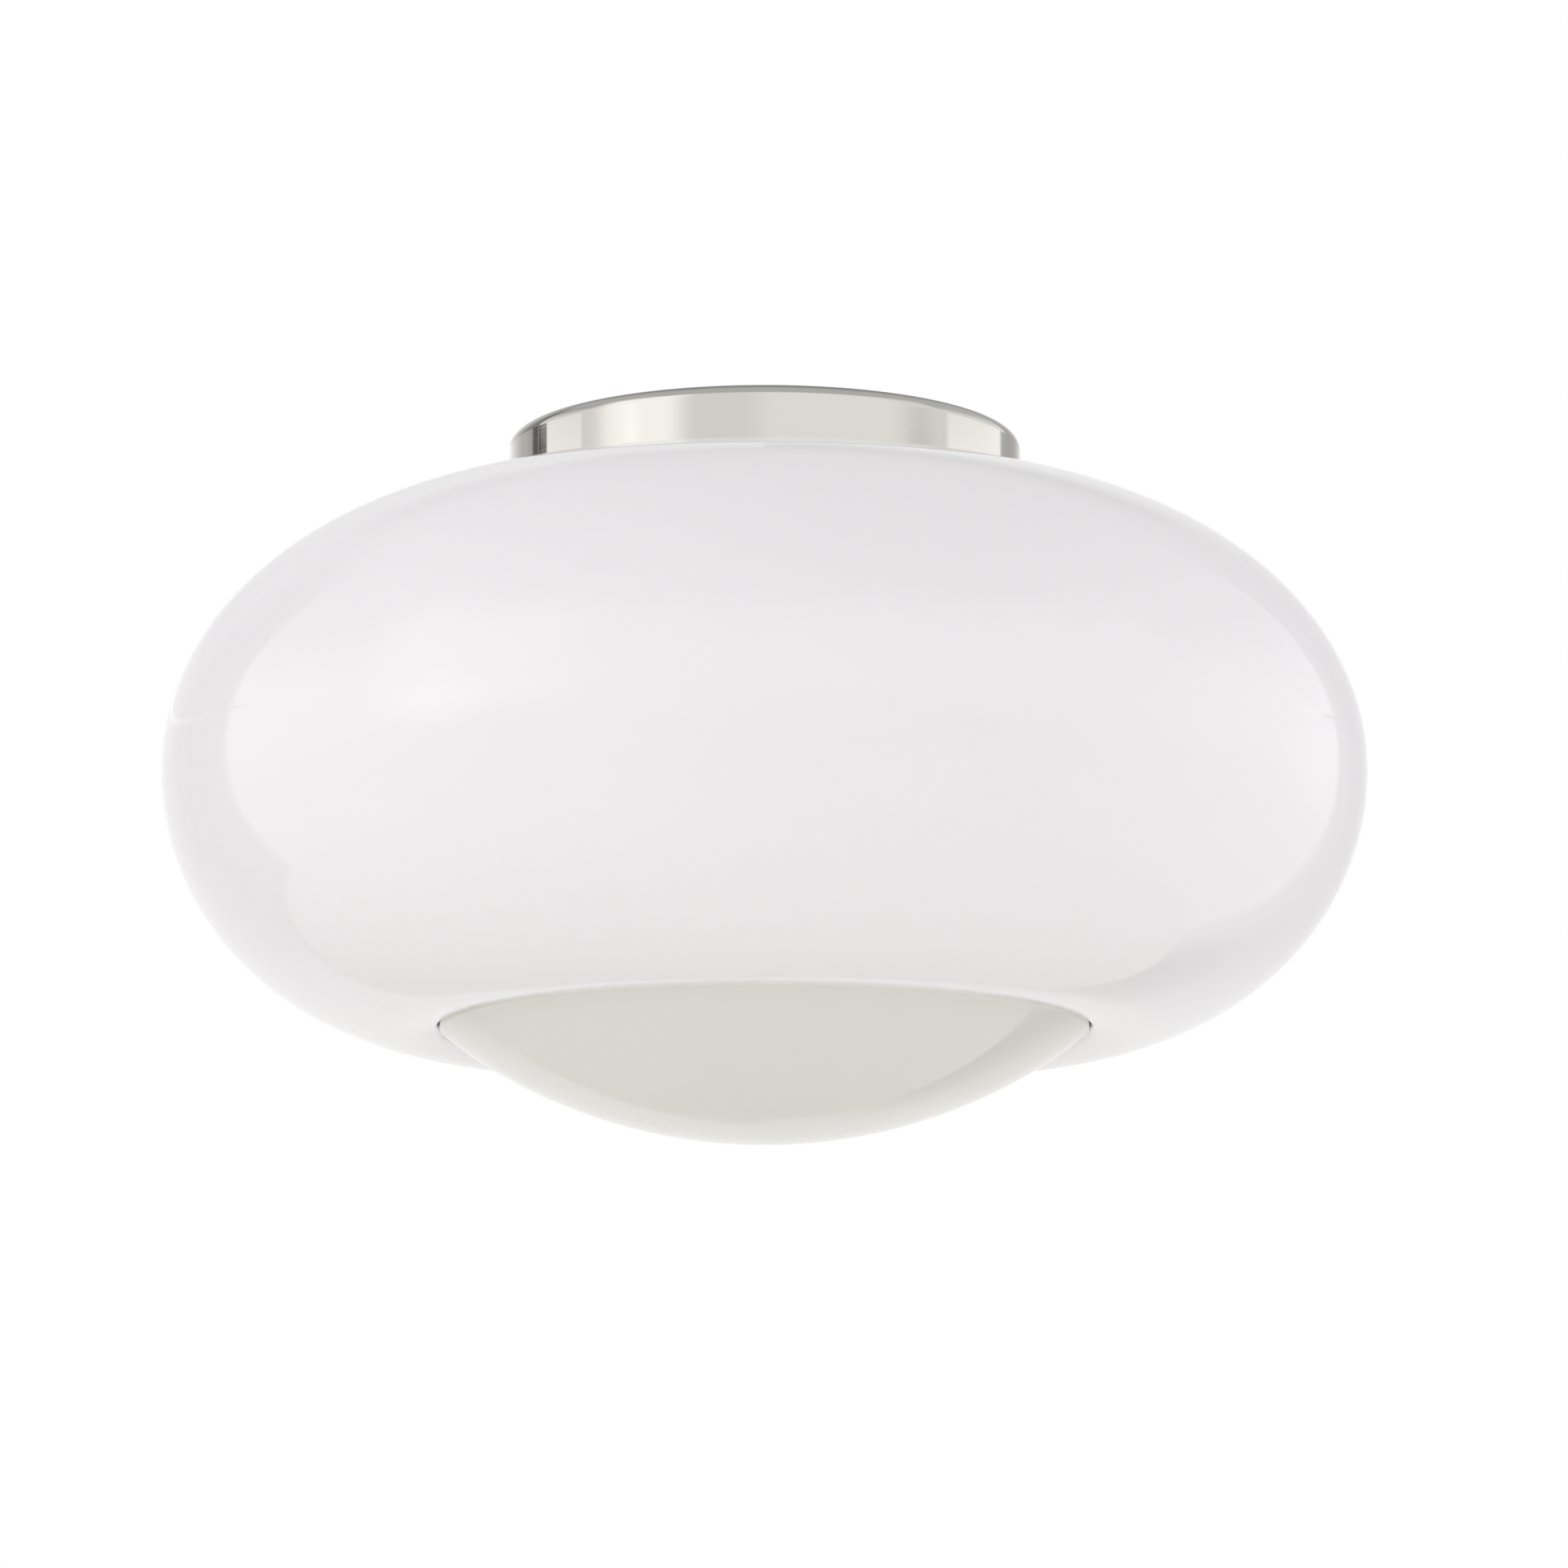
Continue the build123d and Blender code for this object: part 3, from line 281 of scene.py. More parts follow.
def joined(*runs):
    """One outline from runs that meet end to end, without repeated points."""
    points = np.concatenate(runs)
    keep = np.hypot(*(points - np.roll(points, 1, axis=0)).T) > SAME_POINT
    keep[0] = True
    return points[keep]


class ShadeCurve:
    """Named points and angles of the shade's outline, all worked out from its sizes."""

    def __init__(self, glass):
        self.wall = glass.shade_wall
        self.radius = glass.shade_diameter / 2
        self.mouth = glass.mouth_diameter / 2
        self.crown = glass.crown_level
        self.crown_flat = glass.crown_flat
        self.equator = self.crown - glass.upper_rise
        self.upper = (self.radius - self.crown_flat, glass.upper_rise)
        self.lower_center = self.mouth - glass.lower_inset
        self.lower = (self.radius - self.lower_center, glass.lower_drop)
        self.lip_radius = glass.lip_radius
        self.break_angle = acos((glass.lip_reach + glass.lower_inset) / self.lower[0])
        slope = atan2(self.lower[1] * cos(self.break_angle), self.lower[0] * sin(self.break_angle))
        self.lip_center = np.array((
            self.mouth + glass.lip_reach - self.lip_radius * sin(slope),
            self.equator - self.lower[1] * sin(self.break_angle) + self.lip_radius * cos(slope),
        ))
        middle = self.lip_radius - self.wall / 2
        swing = asin((self.lip_center[0] - self.mouth) / hypot(middle, self.wall / 2))
        self.rim_angle = swing - atan2(self.wall / 2, middle)
        self.rim_level = self.lip_center[1] - self.lip_radius * cos(self.rim_angle)

    def lip_point(self, radius):
        """Point of the rim at this distance from the centre of the lip."""
        return self.lip_center - radius * np.array((sin(self.rim_angle), cos(self.rim_angle)))

    def skin(self, inward):
        """One skin from the crown to the rim: a quarter ellipse, a shorter ellipse and the lip arc."""
        spans = (self.upper[0] - inward, self.upper[1] - inward)
        upper = ellipse_arc((self.crown_flat, self.equator), spans, pi / 2, 0, STEPS["shade_upper"])
        spans = (self.lower[0] - inward, self.lower[1] - inward)
        center = (self.lower_center, self.equator)
        lower = ellipse_arc(center, spans, 0, -self.break_angle, STEPS["shade_lower"])
        heading = (-spans[0] * sin(self.break_angle), -spans[1] * cos(self.break_angle))
        lip = tangent_arc(lower[-1], heading, self.lip_point(self.lip_radius - inward), STEPS["shade_lip"])
        return joined(upper, lower, lip)

    def rim(self):
        """Half-round rim between the two skins."""
        middle = self.lip_point(self.lip_radius - self.wall / 2)
        start = -pi / 2 - self.rim_angle
        return circle_arc(middle, self.wall / 2, start, start - pi, STEPS["shade_rim"])


def shade_outline(glass):
    """Closed outline of the shade's wall: outer skin, rim, inner skin, crown and the edge of its hole."""
    curve = ShadeCurve(glass)
    hole = glass.crown_hole / 2
    polish = glass.fire_polish
    under = curve.crown - curve.wall
    steps = STEPS["fire_polish"]
    edge = joined(
        straight((curve.crown_flat, under), (hole + polish, under)),
        circle_arc((hole + polish, under + polish), polish, -pi / 2, -pi, steps),
        circle_arc((hole + polish, curve.crown - polish), polish, pi, pi / 2, steps),
        straight((hole + polish, curve.crown), (curve.crown_flat, curve.crown)),
    )
    return joined(curve.skin(0), curve.rim(), curve.skin(curve.wall)[::-1], edge)[:-1]


def dome_outline(glass):
    """Outline of the dome from its lowest point to the inside: sphere, rounding, collar, inner sphere."""
    radius = glass.mouth_diameter / 2 - glass.dome_gap
    wall = glass.dome_wall
    lip = wall / 3
    sphere = (radius**2 + glass.dome_depth**2) / (2 * glass.dome_depth)
    center = glass.dome_bottom + sphere
    inner = radius - wall
    edge = np.array((radius - glass.dome_edge, 0.0))
    edge[1] = center - sqrt((sphere - glass.dome_edge) ** 2 - edge[0] ** 2)
    meeting = atan2(edge[1] - center, edge[0])
    inside = asin(inner / (sphere - wall))
    shoulder = glass.collar_top - lip
    return joined(
        circle_arc((0.0, center), sphere, -pi / 2, meeting, STEPS["dome"]),
        circle_arc(edge, glass.dome_edge, meeting, 0, STEPS["dome_edge"]),
        straight((radius, edge[1]), (radius, shoulder)),
        circle_arc((radius - lip, shoulder), lip, 0, pi / 2, STEPS["dome_collar"]),
        circle_arc((inner + lip, shoulder), lip, pi / 2, pi, STEPS["dome_collar"]),
        straight((inner, shoulder), (inner, center - sqrt((sphere - wall) ** 2 - inner**2))),
        circle_arc((0.0, center), sphere - wall, inside - pi / 2, -pi / 2, STEPS["dome_inside"]),
    )


def canopy_outline(size):
    """Closed outline of the canopy's sheet: ceiling face, rounded edge, wall, turned-in foot and inside."""
    radius = size.diameter / 2
    wall = size.wall
    bottom = -size.depth
    foot = radius - size.foot_width
    edge = size.edge_radius
    bend = size.foot_radius
    return joined(
        straight((size.entry_radius, 0), (radius - edge, 0)),
        circle_arc((radius - edge, -edge), edge, pi / 2, 0, STEPS["canopy_edge"]),
        straight((radius, -edge), (radius, bottom + bend)),
        circle_arc((radius - bend, bottom + bend), bend, 0, -pi / 2, STEPS["canopy_foot"]),
        straight((radius - bend, bottom), (foot, bottom)),
        straight((foot, bottom), (foot, bottom + wall)),
        straight((foot, bottom + wall), (radius - wall, bottom + wall)),
        straight((radius - wall, bottom + wall), (radius - wall, -edge)),
        circle_arc((radius - edge, -edge), edge - wall, 0, pi / 2, STEPS["canopy_inside"]),
        straight((radius - edge, -wall), (size.entry_radius, -wall)),
        straight((size.entry_radius, -wall), (size.entry_radius, 0)),
    )[:-1]


# Surfaces


def ring_faces(rows, segments, closed):
    """Four-sided faces between neighbouring rings of points, and from the last to the first if closed."""
    index = np.arange(rows * segments).reshape(rows, segments)
    near = index if closed else index[:-1]
    far = np.roll(index, -1, axis=0) if closed else index[1:]
    return np.stack((near, far, np.roll(far, -1, 1), np.roll(near, -1, 1)), axis=-1).reshape(-1, 4)


def spun(outline, segments, closed, swell=None):
    """Turned surface: every outline point runs round the axis at evenly stepped angles.

    The point (radius, height) becomes (radius cos, radius sin, height). swell may return a change of
    radius for each angle, as a thread does. Open outlines that end on the axis close in a single point there.
    """
    on_axis = outline[:, 0] < ON_AXIS
    rings = outline[~on_axis]
    angles = np.linspace(0, 2 * pi, segments, endpoint=False)
    radius = rings[:, :1] + np.zeros(segments)
    if swell is not None:
        radius = radius + swell(rings, angles)
    height = rings[:, 1:] + np.zeros(segments)
    points = np.stack((radius * np.cos(angles), radius * np.sin(angles), height), axis=-1).reshape(-1, 3)
    quads = ring_faces(len(rings), segments, closed)
    fans = np.empty((0, 3), int)
    steps = np.arange(segments)
    for pole, start in ((0, 0), (-1, (len(rings) - 1) * segments)):
        if on_axis[pole] and not closed:
            tip = np.full(segments, len(points))
            around = np.stack((start + steps, start + np.roll(steps, -1), tip), axis=-1)
            fans = np.concatenate((fans, around if pole == 0 else around[:, ::-1]))
            points = np.concatenate((points, ((0.0, 0.0, outline[pole, 1]),)))
    return points, quads, fans


def lamp_place(points, sign, height):
    """Turns a surface made round the Z axis to lie along a lamp, outward on that side."""
    return np.column_stack((sign * points[:, 2], sign * points[:, 0], points[:, 1] + height))


def new_piece(name, surface, body, slot, replaced):
    """Mesh object in the frame, riding on a body and standing for the nodes it replaces.

    Its faces are turned so that the volume that they enclose, summed from the origin, is positive.
    """
    points, quads, fans = surface
    corners = points[quads]
    fan_corners = points[fans]
    volume = np.einsum("ij,ij->", corners[:, 0], np.cross(corners[:, 1], corners[:, 2]))
    volume += np.einsum("ij,ij->", corners[:, 0], np.cross(corners[:, 2], corners[:, 3]))
    volume += np.einsum("ij,ij->", fan_corners[:, 0], np.cross(fan_corners[:, 1], fan_corners[:, 2]))
    step = 1 if volume > 0 else -1
    faces = quads[:, ::step].tolist() + fans[:, ::step].tolist()
    mesh = bpy.data.meshes.new(name)
    mesh.from_pydata(points.tolist(), [], faces)
    if mesh.validate():
        raise RuntimeError(f"{name} has faces that are not valid")
    mesh.shade_smooth()
    mesh.set_sharp_from_angle(angle=SHARP_ANGLE)
    mesh.materials.append(finish_for(slot))
    piece = bpy.data.objects.new(name, mesh)
    bpy.context.scene.collection.objects.link(piece)
    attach(piece, body)
    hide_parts(*replaced)
    return piece


def prism(outline, low, high):
    """Upright prism: the outline at two heights, joined by side faces and closed by two caps."""
    count = len(outline)
    lower = np.column_stack((outline, np.full(count, low)))
    upper = np.column_stack((outline, np.full(count, high)))
    sides = ring_faces(2, count, False)[:, ::-1].tolist()
    caps = [list(range(count))[::-1], list(range(count, 2 * count))]
    return np.concatenate((lower, upper)), sides + caps


def slot_loop(center, long, wide, count=13):
    """Slot: two half circles at the ends of a straight run along X."""
    reach = (long - wide) / 2
    right = circle_arc((center[0] + reach, center[1]), wide / 2, -pi / 2, pi / 2, count)
    left = circle_arc((center[0] - reach, center[1]), wide / 2, pi / 2, 3 * pi / 2, count)
    return joined(right, left)


def circle_loop(center, radius, count=40):
    """Circle as a closed loop."""
    return circle_arc(center, radius, 0, 2 * pi, count + 1)[:-1]


def carve(piece, loops, low, high):
    """Cuts the prisms of these loops out of a piece, and keeps the cut mesh."""
    cutters = []
    for place, loop in enumerate(loops):
        mesh = bpy.data.meshes.new(f"cutter_{place}")
        points, faces = prism(loop, low, high)
        mesh.from_pydata(points.tolist(), [], faces)
        cutter = bpy.data.objects.new(mesh.name, mesh)
        bpy.context.scene.collection.objects.link(cutter)
        cut = piece.modifiers.new(mesh.name, "BOOLEAN")
        cut.operation = "DIFFERENCE"
        cut.solver = "EXACT"
        cut.object = cutter
        cutters.append(cutter)
    graph = bpy.context.evaluated_depsgraph_get()
    carved = bpy.data.meshes.new_from_object(piece.evaluated_get(graph))
    piece.modifiers.clear()
    piece.data = carved
    carved.shade_smooth()
    carved.set_sharp_from_angle(angle=SHARP_ANGLE)
    for cutter in cutters:
        bpy.data.objects.remove(cutter)


def screw_holes(node, gap):
    """Holes for screws that come up through the ceiling face: one circle round each shank's end.

    The ends lie on the left, in the middle or on the right. A hole's centre is the mean of an end's points.
    """
    mesh = frame["nodes"][node].data
    points = np.empty(len(mesh.vertices) * 3, np.float32)
    mesh.vertices.foreach_get("co", points)
    points = points.reshape(-1, 3).astype(float)
    top = points[points[:, 2] > points[:, 2].max() - SHANK_END, :2]
    place = np.sign(top[:, 0]) * (np.abs(top[:, 0]) > MIDDLE_REACH)
    ends = [top[place == side] for side in np.unique(place)]
    return [circle_loop(end.mean(0), np.ptp(end[:, 0]) / 2 + gap) for end in ends]


# Finishes


class Link:
    """A socket on its way through a node tree. Arithmetic on it adds Math nodes."""

    def __init__(self, finish, socket):
        self.finish = finish
        self.socket = socket

    def math(self, operation, first, second):
        """One Math node with these two values or links."""
        node = self.finish.add("ShaderNodeMath", {"operation": operation}, {0: first, 1: second})
        return Link(self.finish, node.outputs[0])

    def __add__(self, other):
        return self.math("ADD", self, other)

    def __radd__(self, other):
        return self.math("ADD", other, self)

    def __sub__(self, other):
        return self.math("SUBTRACT", self, other)

    def __rsub__(self, other):
        return self.math("SUBTRACT", other, self)

    def __mul__(self, other):
        return self.math("MULTIPLY", self, other)

    def __rmul__(self, other):
        return self.math("MULTIPLY", other, self)

    def __pow__(self, other):
        return self.math("POWER", self, other)

    def __abs__(self):
        return self.math("ABSOLUTE", self, 0.0)

    def __gt__(self, other):
        return self.math("GREATER_THAN", self, other)


class Finish:
    """Node tree of one material or world, filled by expressions."""

    def __init__(self, owner):
        owner.use_nodes = True
        self.owner = owner
        self.tree = owner.node_tree
        self.tree.nodes.clear()

    def add(self, kind, options, inputs):
        """Adds a node: its settings first, then a value or a link for each of its sockets."""
        node = self.tree.nodes.new(kind)
        for name, value in options.items():
            setattr(node, name, value)
        for key, value in inputs.items():
            if isinstance(value, Link):
                self.tree.links.new(value.socket, node.inputs[key])
            else:
                node.inputs[key].default_value = value
        return node

    def out(self, kind, options, inputs, output=0):
        """Adds a node and gives one of its outputs."""
        return Link(self, self.add(kind, options, inputs).outputs[output])

    def place(self, stretch=(1.0, 1.0, 1.0)):
        """Object coordinates, stretched along each axis."""
        spot = self.out("ShaderNodeTexCoord", {}, {}, "Object")
        return self.out("ShaderNodeMapping", {}, {"Vector": spot, "Scale": stretch})

    def parts(self, vector):
        """The three parts of a vector as numbers."""
        split = self.add("ShaderNodeSeparateXYZ", {}, {"Vector": vector})
        return [Link(self, socket) for socket in split.outputs]

    def noise(self, scale, detail=2.0, stretch=(1.0, 1.0, 1.0)):
        """Soft random pattern with about scale cells to the metre."""
        inputs = {"Vector": self.place(stretch), "Scale": scale, "Detail": detail}
        return self.out("ShaderNodeTexNoise", {}, inputs, "Fac")

    def cells(self, scale, output="Distance"):
        """Random cells, about scale to the metre."""
        return self.out("ShaderNodeTexVoronoi", {}, {"Vector": self.place(), "Scale": scale}, output)

    def ramp(self, value, low, high):
        """Smooth step from 0 at low to 1 at high."""
        options = {"interpolation_type": "SMOOTHSTEP"}
        return self.out("ShaderNodeMapRange", options, {"Value": value, 1: low, 2: high})

    def mix(self, share, first, second):
        """Colour between two colours, by the node's own sockets for colours: 6 and 7 in, 2 out."""
        inputs = {0: share, 6: opaque(first), 7: opaque(second)}
        return self.out("ShaderNodeMix", {"data_type": "RGBA"}, inputs, 2)

    def vary(self, share, base, low, high):
        """Colour between two shades of a base colour."""
        return self.mix(share, shade_of(base, low), shade_of(base, high))

    def bump(self, height, distance, strength=1.0):
        """Surface direction from a height pattern, distance metres high."""
        inputs = {"Height": height, "Distance": distance, "Strength": strength}
        return self.out("ShaderNodeBump", {}, inputs)

    def surface(self, inputs):
        """Principled shader with these sockets, as the material's surface."""
        shader = self.out("ShaderNodeBsdfPrincipled", {}, inputs)
        self.add("ShaderNodeOutputMaterial", {}, {"Surface": shader})
        return self.owner


def opaque(value):
    """A colour with full alpha, or a link as it is."""
    return value if isinstance(value, Link) else (*value, 1.0)


def shade_of(base, factor):
    """A colour times a factor."""
    return tuple(min(1.0, part * factor) for part in base)


def span(first, second):
    """Distance: the root of the sum of two squares."""
    return (first * first + second * second) ** 0.5


def start_finish(name):
    """A new material's node tree."""
    return Finish(bpy.data.materials.new(name))


# Painted glow of the glass at the mouth, which lights the gap between shade and dome: how far from the mouth
# it fades and is full, how far above the rim it starts and is full, and its share of the glass's colour
PAINTED_GLOW_FAR = 0.0016
PAINTED_GLOW_NEAR = 0.0006
PAINTED_GLOW_LOW = 0.0002
PAINTED_GLOW_HIGH = 0.0012
PAINTED_GLOW_SHARE = 0.16
# Painted dark reflection on the canopy's edge where it faces the ceiling: heights at which it starts and is
# full, how far outside the start of the rounding it is full, and its share of the plate's colour
PAINTED_EDGE_LOW = -0.0017
PAINTED_EDGE_HIGH = -0.0007
PAINTED_EDGE_RUN = 0.0007
PAINTED_EDGE_SHARE = 0.48
# Ring of chips on a lamp's board: its radius, and how far from there it fades and is full
CHIP_RING = 0.014
CHIP_FAR = 0.0022
CHIP_NEAR = 0.0016


def glass_finish(name, base):
    """Opal glass: clouds of denser white, a hand-blown ripple and a clear skin.

    A painted glow lights it in a narrow ring at the mouth, just above the rim.
    """
    finish = start_finish(name)
    curve = ShadeCurve(settings().glass)
    across, along, up = finish.parts(finish.place())
    radius = span(across, along)
    clouds = finish.noise(9.0, detail=3.0)
    ripple = finish.noise(16.0, detail=1.0)
    haze = finish.noise(140.0, detail=3.0)
    # Painted glow: emission in a narrow ring just above the rim at the mouth, lighting the gap to the dome
    near = finish.ramp(abs(radius - curve.mouth), PAINTED_GLOW_FAR, PAINTED_GLOW_NEAR)
    painted_glow = near * finish.ramp(up, curve.rim_level + PAINTED_GLOW_LOW, curve.rim_level + PAINTED_GLOW_HIGH)
    return finish.surface({
        "Base Color": finish.vary(clouds, base, 0.985, 1.012),
        "Roughness": 0.015 + haze * 0.035,
        "IOR": 1.52,
        "Subsurface Weight": 0.7,
        "Subsurface Radius": (1.0, 0.98, 0.94),
        "Subsurface Scale": 0.005,
        "Emission Color": finish.mix(painted_glow, BLACK, shade_of(base, PAINTED_GLOW_SHARE)),
        "Emission Strength": 1.0,
        "Normal": finish.bump(ripple, 0.00025, strength=0.3),
    })


def polished_nickel(colours):
    """Polished nickel: turned lines, faint haze, a painted dark reflection at the ceiling edge."""
    finish = start_finish("polished_nickel_plate")
    canopy = settings().canopy
    inner = canopy.diameter / 2 - canopy.edge_radius
    across, along, up = finish.parts(finish.place())
    radius = span(across, along)
    ringed = finish.out("ShaderNodeCombineXYZ", {}, {"X": radius, "Y": up})
    lines = finish.out("ShaderNodeTexNoise", {}, {"Vector": ringed, "Scale": 2600.0, "Detail": 3.0}, "Fac")
    haze = finish.noise(30.0, detail=4.0)
    # Painted dark reflection: the plate is darker on the rounding next to the ceiling
    painted_edge_reflection = finish.ramp(up, PAINTED_EDGE_LOW, PAINTED_EDGE_HIGH) * finish.ramp(radius, inner, inner + PAINTED_EDGE_RUN)
    plate = finish.vary(haze, colours.nickel, 0.98, 1.02)
    return finish.surface({
        "Base Color": finish.mix(painted_edge_reflection, plate, shade_of(colours.nickel, PAINTED_EDGE_SHARE)),
        "Metallic": 1.0,
        "Roughness": 0.03 + haze * 0.02 + lines * 0.02,
        "Normal": finish.bump(lines, 0.000004, strength=0.6),
    })


def white_enamel(colours):
    """Baked enamel: a fine orange-peel skin over the sheet."""
    finish = start_finish("white_baked_enamel")
    peel = finish.noise(950.0)
    clouds = finish.noise(35.0)
    return finish.surface({
        "Base Color": finish.vary(clouds, colours.enamel, 0.97, 1.0),
        "Roughness": 0.26 + peel * 0.12,
        "Normal": finish.bump(peel, 0.00006, strength=0.6),
    })


def plated(name, base, spangle_scale, rough):
    """Plated metal: crystal spangles that differ in brightness and gloss, under fine scratches."""
    finish = start_finish(name)
    spangle = finish.cells(spangle_scale, "Color")
    share = finish.out("ShaderNodeSeparateColor", {}, {"Color": spangle})
    scratch = finish.noise(500.0, detail=3.0, stretch=(1.0, 8.0, 1.0))
    return finish.surface({
        "Base Color": finish.vary(share, base, 0.88, 1.08),
        "Metallic": 1.0,
        "Roughness": rough + share * 0.08 + scratch * 0.08,
        "Normal": finish.bump(scratch, 0.00001, strength=0.5),
    })


def nickel_brass(colours):
    """Nickel-plated brass of the screw shells."""
    warm = (colours.nickel[0] * 1.12, colours.nickel[1] * 1.05, colours.nickel[2] * 0.86)
    return plated("nickel_plated_brass", warm, 900.0, 0.16)


def brass(colours):
    """Brass with darker tarnish in patches."""
    finish = start_finish("terminal_brass")
    tarnish = finish.ramp(finish.noise(320.0, detail=4.0), 0.45, 0.75)
    lines = finish.noise(900.0, stretch=(1.0, 6.0, 1.0))
    return finish.surface({
        "Base Color": finish.vary(tarnish, colours.brass, 1.0, 0.7),
        "Metallic": 1.0,
        "Roughness": 0.22 + tarnish * 0.18 + lines * 0.06,
        "Normal": finish.bump(lines, 0.00001, strength=0.5),
    })


def green_screw(colours):
    """Green dyed zinc of the earth screw, worn at the high spots."""
    finish = start_finish("green_dyed_zinc")
    wear = finish.ramp(finish.noise(600.0, detail=3.0), 0.5, 0.8)
    return finish.surface({
        "Base Color": finish.mix(wear, (0.03, 0.24, 0.09), shade_of(colours.zinc, 0.8)),
        "Metallic": 1.0,
        "Roughness": 0.3 + wear * 0.1,
    })


def spring_steel(colours):
    """Tempered strip: rolling lines along the strip and a faint blue and straw tint from the heat."""
    finish = start_finish("tempered_strip_steel")
    lines = finish.noise(300.0, detail=3.0, stretch=(6.0, 6.0, 0.4))
    temper = finish.noise(60.0)
    tint = finish.mix(temper, (0.36, 0.40, 0.47), (0.50, 0.46, 0.40))
    return finish.surface({
        "Base Color": finish.mix(lines, tint, colours.steel),
        "Metallic": 1.0,
        "Roughness": 0.22 + lines * 0.14,
        "Normal": finish.bump(lines, 0.00001, strength=0.5),
    })


def board_aluminium(colours):
    """Coated board: white solder mask with a ring of pale yellow chips."""
    finish = start_finish("white_coated_board")
    across, up = finish.parts(finish.place())[1:]
    radius = span(across, up - lamp_height())
    ring = finish.ramp(abs(radius - CHIP_RING), CHIP_FAR, CHIP_NEAR)
    chips = finish.ramp(finish.cells(330.0), 0.34, 0.28)
    return finish.surface({
        "Base Color": finish.mix(ring * chips, shade_of(colours.enamel, 1.02), (0.80, 0.62, 0.18)),
        "Roughness": 0.4 - chips * 0.1,
    })


def solder(colours):
    """Dull tin and lead of the tip contact."""
    finish = start_finish("tip_solder")
    lumps = finish.noise(420.0, detail=3.0)
    return finish.surface({
        "Base Color": finish.vary(lumps, colours.zinc, 0.7, 0.95),
        "Metallic": 1.0,
        "Roughness": 0.34 + lumps * 0.16,
        "Normal": finish.bump(lumps, 0.0001, strength=0.6),
    })


def nickel_cap(colours):
    """Lamp cap: bright nickel, rubbed in the hollows, with a black glass cone round the tip contact."""
    finish = start_finish("lamp_cap_nickel")
    rub = finish.noise(380.0, detail=3.0, stretch=(4.0, 1.0, 1.0))
    station = abs(finish.parts(finish.place())[0])
    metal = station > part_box("bulb_cap_right")[0].x + settings().lamp.shoulder
    bright = finish.vary(rub, colours.nickel, 0.95, 1.15)
    return finish.surface({
        "Base Color": finish.mix(metal, (0.02, 0.02, 0.024), bright),
        "Metallic": metal,
        "Roughness": 0.12 + rub * 0.12,
    })


def porcelain(colours):
    """Porcelain: a clear glaze with small dark specks and a slightly wavy skin."""
    finish = start_finish("glazed_porcelain")
    specks = finish.ramp(finish.cells(260.0), 0.10, 0.05)
    clouds = finish.noise(60.0)
    body = finish.vary(clouds, colours.porcelain, 0.96, 1.0)
    return finish.surface({
        "Base Color": finish.mix(specks * 0.35, body, (0.42, 0.36, 0.28)),
        "Roughness": 0.14 + clouds * 0.08,
        "Coat Weight": 0.5,
        "Coat Roughness": 0.05,
        "Normal": finish.bump(finish.noise(110.0), 0.00008, strength=0.5),
    })


def moulded(name, base, rough, grain_scale):
    """Moulded plastic or rubber: a fine spark-eroded grain and soft patches of gloss."""
    finish = start_finish(name)
    grain = finish.noise(grain_scale, detail=3.0)
    patches = finish.noise(45.0)
    return finish.surface({
        "Base Color": finish.vary(patches, base, 0.94, 1.04),
        "Roughness": rough + patches * 0.08 + grain * 0.06,
        "Normal": finish.bump(grain, 0.00002, strength=0.6),
    })


def black_insulation(colours):
    """Live wires."""
    return moulded("black_wire_cover", shade_of(colours.rubber, 1.3), 0.32, 2400.0)


def clear_silicone(colours):
    """Gaskets and pads: milky, slightly see-through rubber."""
    finish = start_finish("milky_silicone")
    clouds = finish.noise(120.0)
    return finish.surface({
        "Base Color": finish.vary(clouds, colours.silicone, 0.94, 1.0),
        "Roughness": 0.36 + clouds * 0.12,
        "Transmission Weight": 0.25,
        "IOR": 1.41,
    })


def frosted_globe(colours):
    """Diffuser of a lamp: sanded inside, satin outside."""
    finish = start_finish("frosted_diffuser")
    frost = finish.noise(1400.0)
    clouds = finish.noise(40.0)
    return finish.surface({
        "Base Color": finish.vary(clouds, colours.globe, 0.98, 1.0),
        "Roughness": 0.34 + frost * 0.12,
        "Subsurface Weight": 0.3,
        "Subsurface Radius": (1.0, 1.0, 0.88),
        "Subsurface Scale": 0.004,
        "Normal": finish.bump(frost, 0.00001, strength=0.5),
    })


# Finishes with a recipe of their own, and those that share one: recipe, name, colour and the recipe's numbers
OWN_FINISHES = {
    make.__name__: make
    for make in (
        polished_nickel, white_enamel, nickel_brass, brass, green_screw, spring_steel, board_aluminium,
        solder, nickel_cap, porcelain, black_insulation, clear_silicone, frosted_globe,
    )
}
SHARED_FINISHES = {
    "opal_glass": (glass_finish, "opal_white_glass", "opal"),
    "dome_glass": (glass_finish, "dome_opal_glass", "dome"),
    "zinc_steel": (plated, "bright_zinc_plate", "zinc", 700.0, 0.2),
    "white_nylon": (moulded, "white_nylon_block", "nylon", 0.36, 1800.0),
    "black_rubber": (moulded, "black_bush_rubber", "rubber", 0.52, 1500.0),
    "white_insulation": (moulded, "white_wire_cover", "lamp_body", 0.32, 2400.0),
    "lamp_plastic": (moulded, "lamp_housing_plastic", "lamp_body", 0.34, 1600.0),
}
MADE = {}


def finish_for(slot):
    """The material of a slot, made once."""
    if slot not in MADE:
        colours = settings().colours
        if slot in OWN_FINISHES:
            MADE[slot] = OWN_FINISHES[slot](colours)
        else:
            recipe, name, base, *numbers = SHARED_FINISHES[slot]
            MADE[slot] = recipe(name, getattr(colours, base), *numbers)
    return MADE[slot]


